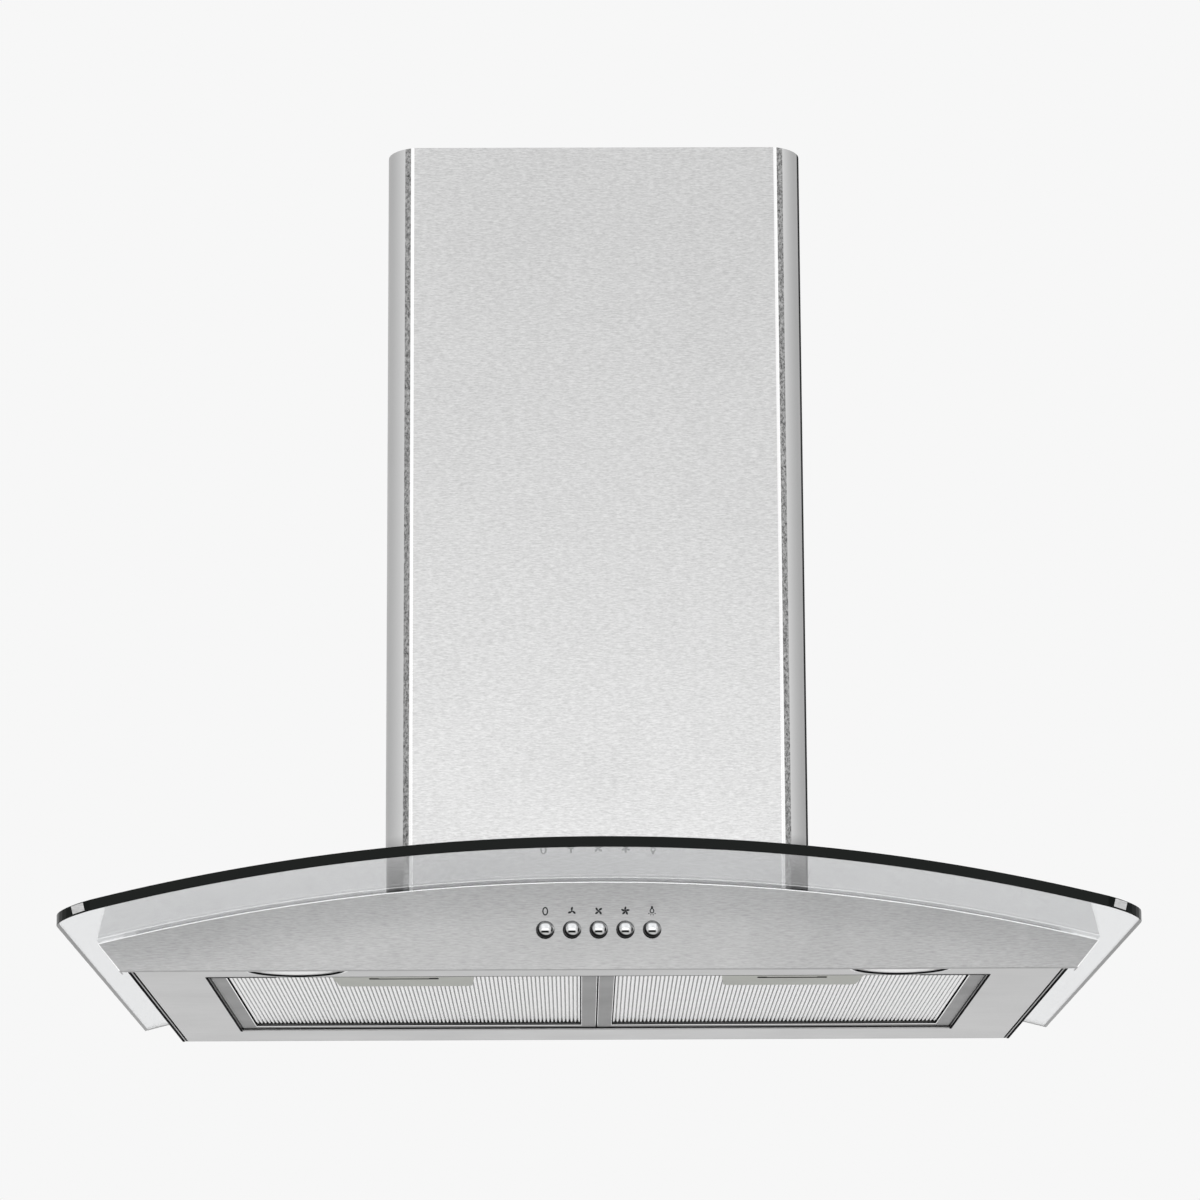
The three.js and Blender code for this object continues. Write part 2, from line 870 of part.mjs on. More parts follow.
function makeBlowerBox() {
  const shell = cut(box(-boxHalf, boxHalf, boxFront, boxRear, -body.height, blowerBox.top), [
    box(-boxHalf + sheet, boxHalf - sheet, boxFront + sheet, boxRear - sheet, -beyond, blowerBox.top - sheet),
    belowArch(deckTop + seat),
  ]);
  const reach = boxHalf + blowerBox.flange;
  const flange = archedSheet(
    rectangle(-reach, reach, boxFront - blowerBox.flange, boxRear),
    flangeLow,
    flangeHigh,
  ).subtract(
    box(-boxHalf + sheet / 2, boxHalf - sheet / 2, boxFront + sheet / 2, beyond, -beyond, beyond),
  );
  const windowHalf = rail.width / 2 + rail.play;
  const outlet = rod(collar.radius - collar.wall, blowerBox.top - 2 * sheet, blowerBox.top + sheet);
  return cut(join([shell, flange]), [
    turned(outlet, "z", facets.round).translate([...ductCentre, 0]),
    box(-windowHalf, windowHalf, boxRear - 2 * sheet, 0, railHook - rail.plate, railHook + seat),
    ...verticalHoles(clampSpots, clamp.screwRadius + clamp.holeSlack, -body.height, body.height),
  ]);
}

function makeClampPad() {
  const reach = boxHalf + blowerBox.flange;
  const plan = rectangle(-reach, reach, boxFront - blowerBox.flange, -gasket.inset);
  return cut(archedSheet(plan, padLow, padLow + blowerBox.pad), [
    box(-notchHalf, notchHalf, notchFront, beyond, -beyond, beyond),
    ...verticalHoles(clampSpots, clamp.glassHole, -body.height, body.height),
  ]);
}

// Each screw stands upright, so its head seats on the high side of the sloping flange.
function makeClampScrew([x, y]) {
  const head = archHeight(Math.abs(x) - clamp.headRadius, flangeHigh) + seat;
  const tip = archHeight(Math.abs(x), barLow) - clamp.tip;
  return turned(
    [
      [0, tip],
      [clamp.screwRadius, tip],
      [clamp.screwRadius, head],
      [clamp.headRadius, head],
      [clamp.headRadius, head + clamp.head / 2],
      [clamp.headTopRadius, head + clamp.head],
      [0, head + clamp.head],
    ],
    "z",
    facets.hole,
  ).translate([x, y, 0]);
}

const barLow = deckUnderside - seat - clamp.bar;

// Bent bar under the deck that takes both screws of one side.
function makeClampBar(side) {
  const middle = boxHalf + blowerBox.flange / 2;
  const [front, rear] = [
    boxFront + clamp.frontMargin - clamp.barOverhang,
    boxRear - clamp.rearMargin + clamp.barOverhang,
  ];
  const [inner, outer] = [middle - clamp.barWidth / 2, middle + clamp.barWidth / 2];
  const bar = archedSheet(rectangle(inner, outer, front, rear), barLow, deckUnderside - seat);
  return cut(
    side > 0 ? bar : bar.mirror([1, 0, 0]),
    verticalHoles(clampSpots, clamp.screwRadius + clamp.holeSlack, -2 * body.height, body.height),
  );
}

// The rail on the wall: a plate whose top turns out and up into the hook that carries the blower box.
function makeWallRail() {
  const half = rail.width / 2;
  const low = rail.height - rail.plate / 2;
  const hookOut = -(rail.gap + 2 * rail.gauge);
  const profile = polygon([
    [0, low],
    [0, railHook],
    [hookOut + rail.gauge, railHook],
    [hookOut + rail.gauge, railHook + rail.hook],
    [hookOut, railHook + rail.hook],
    [hookOut, railHook - rail.gauge],
    [-rail.gauge, railHook - rail.gauge],
    [-rail.gauge, low],
  ]);
  return cut(
    prism(profile, "yz", -half, half),
    [-1, 1].map((side) =>
      turned(rod(rail.holeRadius, -2 * rail.gauge, rail.gauge), "y", facets.hole).translate([
        (side * rail.holeSpacing) / 2,
        0,
        rail.height,
      ]),
    ),
  );
}

function makeMounting() {
  const group = new THREE.Group();
  group.add(
    piece("blower_box", makeBlowerBox(), materials.galvanised),
    piece("clamp_pad", makeClampPad(), materials.rubber),
    piece("clamp_bar_left", makeClampBar(-1), materials.galvanised),
    piece("clamp_bar_right", makeClampBar(1), materials.galvanised),
    ...clampSpots.map((spot, i) => piece(`clamp_screw_${i + 1}`, makeClampScrew(spot), materials.shaftSteel)),
    piece("wall_rail", makeWallRail(), materials.galvanised),
  );
  return group;
}

// -------------------------------------------------------------------------------------- the blower

// Everything in this section is modelled about the wheel's axis, which runs along X.
const scrollHalf = wheel.width / 2 + scroll.sideGap + scroll.wall;
const scrollStart = wheel.radius + scroll.clearance;
const tongue = THREE.MathUtils.degToRad(scroll.tongueAngle);

// The wall of the scroll as seen along X: a logarithmic spiral that ends in the upright outlet.
function scrollOutline(offset, top) {
  const growth = Math.log(scroll.endRadius / scrollStart) / (2 * Math.PI - tongue);
  const spiral = count(scroll.facets + 1).map((i) => {
    const angle = 2 * Math.PI - (i / scroll.facets) * (2 * Math.PI - tongue);
    const radius = scrollStart * Math.exp(growth * (angle - tongue)) + offset;
    return [radius * Math.cos(angle), radius * Math.sin(angle)];
  });
  const tongueY = scrollStart * Math.cos(tongue) - offset;
  return polygon([
    [scroll.endRadius + offset, top],
    ...spiral,
    [tongueY, scrollStart * Math.sin(tongue)],
    [tongueY, top],
  ]);
}

function makeScroll() {
  const top = scroll.top - wheelAxis.z;
  const outer = prism(scrollOutline(scroll.wall, top), "yz", -scrollHalf, scrollHalf);
  const inner = prism(
    scrollOutline(0, top + scroll.wall),
    "yz",
    -scrollHalf + scroll.wall,
    scrollHalf - scroll.wall,
  );
  const inlets = turned(rod(scroll.inletRadius, -2 * scrollHalf, 2 * scrollHalf), "x", facets.round);
  return cut(outer, [inner, inlets]);
}

// Bell-mouth ring for the right-hand inlet. The left-hand one is its mirror image.
function makeInletRing() {
  const hole = scroll.inletRadius - seat;
  const face = scrollHalf + seat;
  const lip = scrollHalf - scroll.wall - inlet.throat / 2;
  const outer = scroll.inletRadius + inlet.flange;
  return turned(
    [
      [hole - inlet.throat, lip],
      [hole - inlet.throat + inlet.gauge, lip],
      [hole - inlet.gauge, scrollHalf - scroll.wall],
      [hole, face],
      [outer, face],
      [outer, face + inlet.gauge],
      [hole - inlet.gauge, face + inlet.gauge],
      [hole - inlet.throat, scrollHalf - scroll.wall],
      [hole - inlet.throat, lip],
    ],
    "x",
    facets.round,
  );
}

// Forward-curved blades between two end rings, on a middle disc with its hub.
function makeWheel() {
  const { radius, innerRadius, blade, bladeInset, bladeSweep } = wheel;
  const half = wheel.width / 2;
  const bladeEdge = (shift) =>
    count(3).map((i) => {
      const share = i / 2;
      const r = innerRadius + bladeInset + (radius - innerRadius - 2 * bladeInset) * share;
      const turn = bladeSweep * share ** 2 + shift / r;
      return [r * Math.cos(turn), r * Math.sin(turn)];
    });
  const bladeSection = polygon([...bladeEdge(0), ...bladeEdge(blade).reverse()]);
  const bladeSolid = prism(bladeSection, "yz", -half + wheel.ring / 2, half - wheel.ring / 2);
  const blades = count(wheel.blades).map((i) => bladeSolid.rotate([(360 * i) / wheel.blades, 0, 0]));
  const rings = [-half, half - wheel.ring].map((x) =>
    turned(ring(innerRadius, radius, x, x + wheel.ring), "x", wheel.blades),
  );
  const disc = turned(
    [
      [shaft.radius + seat, -wheel.hub],
      [wheel.hubRadius, -wheel.hub],
      [wheel.hubRadius, -wheel.disc / 2],
      [radius - wheel.discInset, -wheel.disc / 2],
      [radius - wheel.discInset, wheel.disc / 2],
      [shaft.radius + seat, wheel.disc / 2],
      [shaft.radius + seat, -wheel.hub],
    ],
    "x",
    wheel.blades,
  );
  return join([disc, ...rings, ...blades]);
}

const shaftStart = -wheel.hub - shaft.nutEnd;
const motorFace = wheel.disc / 2 + motor.discGap;
const motorEnd = motorFace + motor.length;
const spiderFace = scrollHalf + 2 * seat + inlet.gauge + spider.gauge; // outer face of the motor's bracket

function makeShaft() {
  return turned(rod(shaft.radius, shaftStart, shaftStart + shaft.length), "x", facets.knob);
}

function makeWheelNut() {
  const face = -wheel.hub - seat;
  const blank = turned(rod(nut.radius, face - nut.thickness, face), "x", facets.hexagon);
  return blank.subtract(turned(rod(shaft.radius + seat, -3 * wheel.hub, 0), "x", facets.knob));
}

function makeMotor() {
  const { radius, bellRadius, bossRadius } = motor;
  const can = turned(
    [
      [0, motorFace],
      [bossRadius, motorFace],
      [bossRadius, motorFace + motor.boss],
      [bellRadius, motorFace + motor.boss],
      [radius, motorFace + motor.shoulder],
      [radius, motorEnd - motor.rearBevel],
      [bellRadius, motorEnd],
      [0, motorEnd],
    ],
    "x",
    facets.round,
  );
  return can.subtract(
    turned(rod(shaft.radius + seat, motorFace - sheet, shaftStart + shaft.length + seat), "x", facets.knob),
  );
}

// Three-armed spider that carries the motor in the right-hand inlet.
function makeMotorBracket() {
  const low = spiderFace - spider.gauge;
  const outer = scroll.inletRadius + inlet.flange;
  const hub = turned(ring(spider.innerRadius, motor.radius, low, spiderFace), "x", facets.round);
  const padProfile = ring(spider.innerRadius, motor.bellRadius, motorEnd + seat, low + spider.gauge / 2);
  const pad = turned(padProfile, "x", facets.round);
  const arm = box(
    low,
    spiderFace,
    spider.innerRadius + spider.gauge,
    outer,
    -spider.armWidth / 2,
    spider.armWidth / 2,
  );
  const arms = count(spider.arms).map((i) => arm.rotate([90 + (360 * i) / spider.arms, 0, 0]));
  const hole = turned(rod(spider.screwRadius + seat, motorEnd, spiderFace + sheet), "x", facets.hole);
  return cut(
    join([hub, pad, ...arms]),
    motorScrewSpots().map(([y, z]) => hole.translate([0, y, z])),
  );
}

function motorScrewSpots() {
  const radius = (spider.innerRadius + motor.bellRadius) / 2;
  return count(spider.arms).map((i) => {
    const angle = Math.PI / 2 + (2 * Math.PI * (i + 0.5)) / spider.arms;
    return [radius * Math.cos(angle), radius * Math.sin(angle)];
  });
}

function makeMotorScrew([y, z]) {
  const { screwRadius, headRadius, head } = spider;
  const headFace = spiderFace + seat;
  return turned(
    [
      [0, motorEnd + seat],
      [screwRadius, motorEnd + seat],
      [screwRadius, headFace],
      [headRadius, headFace],
      [headRadius, headFace + head],
      [0, headFace + head],
    ],
    "x",
    facets.hole,
  ).translate([0, y, z]);
}

// A ring of points on a rounded rectangle, or on a circle where the corner radius fills it.
function loftRing([halfX, halfY, radius], [centreX, centreY], z) {
  const corners = [
    [1, 1],
    [-1, 1],
    [-1, -1],
    [1, -1],
  ];
  return corners.flatMap(([sx, sy], q) =>
    quarterTurn(duct.cornerFacets).map((step) => {
      const angle = (q * Math.PI) / 2 + step;
      return [
        centreX + sx * (halfX - radius) + radius * Math.cos(angle),
        centreY + sy * (halfY - radius) + radius * Math.sin(angle),
        z,
      ];
    }),
  );
}

function loft(rings) {
  const size = rings[0].length;
  const positions = rings.flat(2);
  const middle = (points) => [0, 1, 2].map((k) => points.reduce((sum, p) => sum + p[k], 0) / points.length);
  positions.push(...middle(rings[0]), ...middle(rings[rings.length - 1]));
  const [floor, roof] = [rings.length * size, rings.length * size + 1];
  const index = [];
  rings.slice(1).forEach((_, r) => {
    count(size).forEach((i) => {
      const [a, b] = [r * size + i, r * size + ((i + 1) % size)];
      index.push(a, b, b + size, a, b + size, a + size);
    });
  });
  count(size).forEach((i) => {
    const next = (i + 1) % size;
    const last = (rings.length - 1) * size;
    index.push(floor, next, i, roof, last + i, last + next);
  });
  const geometry = new THREE.BufferGeometry();
  geometry.setAttribute("position", new THREE.Float32BufferAttribute(positions, 3));
  geometry.setIndex(index);
  return solidOf(geometry);
}

// The duct that turns the scroll's rectangular outlet into the round one of the collar.
function makeOutletDuct() {
  const tongueY = wheelAxis.y + scrollStart * Math.cos(tongue);
  const rearY = wheelAxis.y + scroll.endRadius;
  const rectangleCentre = [0, (tongueY + rearY) / 2];
  const section = (grow) => [
    scrollHalf - scroll.wall + grow,
    (rearY - tongueY) / 2 + grow,
    duct.cornerRadius + grow,
  ];
  const round = (grow) => Array(3).fill(collar.radius - collar.wall + grow);
  const [low, high] = [scroll.top + seat, blowerBox.top - sheet - seat];
  const outer = loft([
    loftRing(section(scroll.wall), rectangleCentre, low),
    loftRing(round(scroll.wall), ductCentre, high),
  ]);
  const inner = loft([
    loftRing(section(0), rectangleCentre, low - sheet),
    loftRing(section(0), rectangleCentre, low),
    loftRing(round(0), ductCentre, high),
    loftRing(round(0), ductCentre, high + sheet),
  ]);
  return outer.subtract(inner);
}

function makeCapacitor() {
  const { radius, length, bevel } = capacitor;
  return turned(
    [
      [0, 0],
      [radius - bevel, 0],
      [radius, bevel],
      [radius, length - bevel],
      [radius - bevel, length],
      [0, length],
    ],
    "x",
    facets.knob,
  );
}

// The band's foot lies against the blower box's front wall.
function makeCapacitorBand() {
  const { radius, length, band, bandWidth, y } = capacitor;
  const inner = radius + seat;
  const outer = inner + band;
  const low = (length - bandWidth) / 2;
  const wall = boxFront + sheet + seat - y;
  const foot = box(low, low + bandWidth, wall, -inner - band / 4, -outer, outer);
  return cut(join([turned(rod(outer, low, low + bandWidth), "x", facets.knob), foot]), [
    turned(rod(inner, 0, length), "x", facets.knob),
  ]);
}

function makeBlower() {
  const group = new THREE.Group();
  group.position.set(0, wheelAxis.y, wheelAxis.z);
  const inletRing = makeInletRing();
  const motorScrews = motorScrewSpots().map((spot, i) =>
    piece(`motor_screw_${i + 1}`, makeMotorScrew(spot), materials.shaftSteel),
  );
  group.add(
    piece("blower_scroll", makeScroll(), materials.greyPlastic),
    piece("inlet_ring_right", inletRing, materials.blackPlastic),
    piece("inlet_ring_left", inletRing.rotate([0, 180, 0]), materials.blackPlastic),
    piece("blower_wheel", makeWheel(), materials.greyPlastic),
    piece("wheel_shaft", makeShaft(), materials.shaftSteel),
    piece("wheel_nut", makeWheelNut(), materials.shaftSteel),
    piece("blower_motor", makeMotor(), materials.galvanised),
    piece("motor_bracket", makeMotorBracket(), materials.galvanised),
    ...motorScrews,
  );
  const capacitorGroup = new THREE.Group();
  capacitorGroup.position.set(-capacitor.length / 2, capacitor.y, capacitor.z);
  capacitorGroup.add(
    piece("capacitor", makeCapacitor(), materials.whitePlastic),
    piece("capacitor_band", makeCapacitorBand(), materials.galvanised),
  );
  const ducting = new THREE.Group();
  ducting.add(piece("outlet_duct", makeOutletDuct(), materials.greyPlastic), group, capacitorGroup);
  return ducting;
}

// -------------------------------------------------------------------------- the collar and dampers

// Modelled about the collar's axis, with the blower box's top at z = 0.
const rimTop = collar.rimHeight;
const rodHeight = rimTop + seat + flap.thickness / 2;
const collarInner = collar.radius - collar.wall;

function makeCollar() {
  const outer = collar.radius;
  const low = seat;
  const tube = turned(
    [
      [collarInner, low],
      [outer + collar.base, low],
      [outer + collar.base, low + collar.baseGauge],
      [outer, low + collar.baseGauge],
      [outer, collar.height - collar.leadIn],
      [outer - collar.leadDepth, collar.height],
      [collarInner, collar.height],
      [collarInner, rimTop],
      [collarInner - collar.rim, rimTop],
      [collarInner - collar.rim, rimTop - collar.rimGauge],
      [collarInner, rimTop - collar.rimGauge - collar.rim],
      [collarInner, low],
    ],
    "z",
    facets.round,
  );
  return tube.subtract(
    turned(rod(flap.rodRadius + seat, -2 * outer, 2 * outer), "x", facets.knob).translate([0, 0, rodHeight]),
  );
}

// A half-round flap on the +Y side of the rod, with its knuckles at the given places along X.
function makeFlap(knuckleSpots) {
  const radius = collarInner - flap.clearance;
  const edge = flap.knuckle + flap.slack;
  const low = rodHeight - flap.thickness / 2;
  const plate = prism(disc(0, 0, radius), "xy", low, low + flap.thickness, facets.hole).intersect(
    box(-radius, radius, edge, radius, 0, collar.height),
  );
  const half = flap.knuckleLength / 2;
  const webs = knuckleSpots.map((x) => box(x - half, x + half, 0, edge + sheet, low, low + flap.thickness));
  const knuckles = knuckleSpots.map((x) =>
    turned(rod(flap.knuckle, x - half, x + half), "x", facets.hole).translate([0, 0, rodHeight]),
  );
  const bore = turned(rod(flap.rodRadius + flap.bore, -radius, radius), "x", facets.hole);
  return join([plate, ...webs, ...knuckles]).subtract(bore.translate([0, 0, rodHeight]));
}

function makeOutlet() {
  const group = new THREE.Group();
  group.position.set(...ductCentre, blowerBox.top);
  const step = flap.knuckleLength + 3 * flap.slack;
  const rearFlap = makeFlap([-1.5 * step, 0.5 * step]);
  const frontFlap = makeFlap([-1.5 * step, 0.5 * step]).rotate([0, 0, 180]);
  const rodSolid = turned(rod(flap.rodRadius, -collar.radius, collar.radius), "x", facets.knob);
  group.add(
    piece("outlet_collar", makeCollar(), materials.blackPlastic),
    piece("damper_rod", rodSolid.translate([0, 0, rodHeight]), materials.shaftSteel),
    piece("damper_flap_rear", rearFlap, materials.whitePlastic),
    piece("damper_flap_front", frontFlap, materials.whitePlastic),
  );
  return group;
}

// --------------------------------------------------------------------------------- the junction box

function makeJunction() {
  const { width, depth, height, wall } = junction;
  const half = width / 2;
  const glandHole = turned(rod(gland.threadRadius + seat, -half - wall, -half + 2 * wall), "x", facets.hole);
  const tray = cut(box(-half, half, 0, depth, seat, height), [
    box(-half + wall, half - wall, wall, depth - wall, seat + wall, height + wall),
    glandHole.translate([0, depth / 2, height / 2]),
  ]);
  const rimInset = wall + seat;
  const rim = (inset, low, high) => box(-half + inset, half - inset, inset, depth - inset, low, high);
  const lid = join([
    rim(0, height + seat, height + seat + wall),
    rim(rimInset, height - wall, height + seat + wall / 2).subtract(
      rim(rimInset + wall, height - 2 * wall, height + seat),
    ),
  ]);
  const glandSolid = turned(
    [
      [gland.bore, -half - gland.reach],
      [gland.noseRadius, -half - gland.reach],
      [gland.radius, -half - gland.reach + gland.nose],
      [gland.radius, -half - seat],
      [gland.threadRadius, -half - seat],
      [gland.threadRadius, -half + wall + gland.tail],
      [gland.bore, -half + wall + gland.tail],
      [gland.bore, -half - gland.reach],
    ],
    "x",
    facets.hole,
  ).translate([0, depth / 2, height / 2]);
  const group = new THREE.Group();
  group.position.set(0, boxFront + sheet, blowerBox.top);
  group.add(
    piece("junction_box", tray, materials.blackPlastic),
    piece("junction_box_lid", lid, materials.blackPlastic),
    piece("cable_gland", glandSolid, materials.blackPlastic),
  );
  return group;
}

// --------------------------------------------------------------------------------------- the chimney

// Right-hand half of a cover's outline in plan, from the middle of the front to the wall.
function coverLine(inset) {
  const half = chimney.width / 2 - inset;
  const radius = chimney.cornerRadius - inset;
  const start = THREE.MathUtils.degToRad(chimney.cornerStart);
  const slope = THREE.MathUtils.degToRad(chimney.bevelSlope);
  const bevel = [chimney.bevel * Math.cos(slope), chimney.bevel * Math.sin(slope)];
  const arcX = half - radius * (1 - Math.sin(start));
  const front = -chimney.depth + inset;
  const arcY = front + bevel[1];
  const arc = count(facets.corner + 1).map((i) => {
    const angle = start + (i / facets.corner) * (Math.PI / 2 - start);
    return [
      arcX + radius * (Math.sin(angle) - Math.sin(start)),
      arcY + radius * (Math.cos(start) - Math.cos(angle)),
    ];
  });
  return [[arcX - bevel[0], front], ...arc, [half, -chimney.wallGap]];
}

function makeCover(inset, low, high) {
  const outer = coverLine(inset);
  const inner = coverLine(inset + chimney.gauge);
  return prism(
    polygon([...mirrorX(outer).reverse(), ...outer, ...[...inner].reverse(), ...mirrorX(inner)]),
    "xy",
    low,
    high,
  );
}

const coverTop = glass.thickness + chimney.height;
const upperInset = chimney.gauge + chimney.slide;
const upperTop = coverTop - chimney.upperSet;
const upperBottom = upperTop - chimney.upperLength;

// Bent strip between the blower box and the lower cover. The upper cover rests on it when it is down.
function makeClip(side) {
  const inner = boxHalf + seat;
  const outer = chimney.width / 2 - chimney.gauge - seat;
  const top = upperBottom - seat;
  const { gauge, leg, length } = clip;
  const middle = boxRear - blowerBox.depth / 2;
  const strip = join([
    box(inner, inner + gauge, middle - length / 2, middle + length / 2, top - leg, top),
    box(inner, outer, middle - length / 2, middle + length / 2, top - gauge, top),
    box(outer - gauge, outer, middle - length / 2, middle + length / 2, top - leg, top),
  ]);
  return side > 0 ? strip : strip.mirror([1, 0, 0]);
}

function makeCeilingBracket() {
  const half = chimney.width / 2 - upperInset - chimney.gauge - seat;
  const high = upperTop - ceilingBracket.setDown;
  const low = high - ceilingBracket.height;
  const { gauge, ear } = ceilingBracket;
  const strap = join([
    box(-half, half, -gauge, 0, low, high),
    box(-half, -half + gauge, -ear, 0, low, high),
    box(half - gauge, half, -ear, 0, low, high),
  ]);
  return cut(
    strap,
    [-1, 1].map((side) =>
      turned(rod(ceilingBracket.holeRadius, -2 * gauge, gauge), "y", facets.hole).translate([
        (side * ceilingBracket.holeSpacing) / 2,
        0,
        (low + high) / 2,
      ]),
    ),
  );
}

function makeChimney() {
  const lower = makeCover(0, -body.height, coverTop).subtract(belowArch(padLow));
  const group = new THREE.Group();
  group.add(
    piece("lower_chimney_cover", lower, materials.brushedSteel),
    piece("upper_chimney_cover", makeCover(upperInset, upperBottom, upperTop), materials.brushedSteel),
    piece("cover_clip_left", makeClip(-1), materials.galvanised),
    piece("cover_clip_right", makeClip(1), materials.galvanised),
    piece("ceiling_bracket", makeCeilingBracket(), materials.galvanised),
  );
  return group;
}

// ----------------------------------------------------------------------------------------- the hood

const assembly = new THREE.Group();
assembly.position.z = -rail.height;
assembly.add(
  makeCanopy(),
  makeControls(),
  makeLamp(-1),
  makeLamp(1),
  makeFilter(-1),
  makeFilter(1),
  makeMounting(),
  makeBlower(),
  makeOutlet(),
  makeJunction(),
  makeChimney(),
);

const rangeHood = new THREE.Group();
rangeHood.add(assembly);

export default rangeHood;
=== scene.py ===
"""Looks of the curved glass range hood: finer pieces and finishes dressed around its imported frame.

Metres throughout. Each sub-assembly is modelled with the kitchen wall at y = 0 and the crown of the glass's
underside at z = 0. A finished piece is then lowered by CROWN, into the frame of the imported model.
"""

import json
import logging
import math
from contextlib import contextmanager
from dataclasses import dataclass
from enum import Enum
from typing import Callable, Iterator, Optional, Sequence

import bmesh
import bpy
from mathutils import Matrix, Vector

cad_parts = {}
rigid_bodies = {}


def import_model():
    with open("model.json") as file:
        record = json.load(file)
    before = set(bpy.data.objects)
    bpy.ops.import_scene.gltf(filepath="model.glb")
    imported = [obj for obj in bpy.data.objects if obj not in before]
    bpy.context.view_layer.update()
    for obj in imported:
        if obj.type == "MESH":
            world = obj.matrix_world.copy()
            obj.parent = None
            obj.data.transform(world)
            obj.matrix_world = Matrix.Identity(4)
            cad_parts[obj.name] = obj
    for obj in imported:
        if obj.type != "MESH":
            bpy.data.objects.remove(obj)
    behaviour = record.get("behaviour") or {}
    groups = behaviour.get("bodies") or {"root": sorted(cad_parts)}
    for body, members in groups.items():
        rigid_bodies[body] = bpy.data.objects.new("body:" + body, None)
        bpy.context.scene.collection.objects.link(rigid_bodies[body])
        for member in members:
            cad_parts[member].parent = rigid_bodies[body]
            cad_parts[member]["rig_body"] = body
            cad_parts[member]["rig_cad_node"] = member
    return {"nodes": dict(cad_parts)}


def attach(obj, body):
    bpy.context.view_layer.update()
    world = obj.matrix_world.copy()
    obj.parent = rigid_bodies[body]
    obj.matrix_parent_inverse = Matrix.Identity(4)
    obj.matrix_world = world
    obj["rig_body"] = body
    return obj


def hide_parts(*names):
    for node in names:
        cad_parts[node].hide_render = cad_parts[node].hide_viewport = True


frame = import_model()

logging.basicConfig(level=logging.INFO, format="%(name)s: %(message)s")

MM = 0.001
CROWN = -240 * MM  # the crown of the glass's underside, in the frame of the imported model
WELD = 1e-6
BUTTON_RADIUS = 4.75 * MM
BUTTON_PITCH = 15.3 * MM
BUTTON_HEIGHT = -29 * MM
# Painted shade on the chimney's corner steel: darker where it turns away, and towards its foot.
CORNER_PAINTED_SHADE = (128.5 * MM, 118 * MM)  # from the middle plane to the chimney's darkest and palest corner steel
FOOT_PAINTED_SHADE = (28 * MM, 48 * MM)  # above the crown, where that steel is darkest and palest at its foot
FULL_TURN = 2 * math.pi

Point = tuple[float, float, float]
Piece = bpy.types.Object
Material = bpy.types.Material
Tree = bpy.types.NodeTree
Node = bpy.types.Node
Socket = bpy.types.NodeSocket
Pair = tuple[float, float]
Corners = tuple[Point, Point]
FaceTest = Callable[[Vector, Vector], bool]


def mm(*values: float) -> tuple[float, ...]:
    """Turns millimetres into metres."""
    return tuple(v * MM for v in values)


# ------------------------------------------------------------------------------------ the bench


class Axis(Enum):
    """A direction of the frame."""

    X = (1.0, 0.0, 0.0)
    Y = (0.0, 1.0, 0.0)
    Z = (0.0, 0.0, 1.0)


class Cut(Enum):
    """What a tool does to the piece that it works on."""

    SUBTRACT = "DIFFERENCE"
    CROP = "INTERSECT"
    JOIN = "UNION"


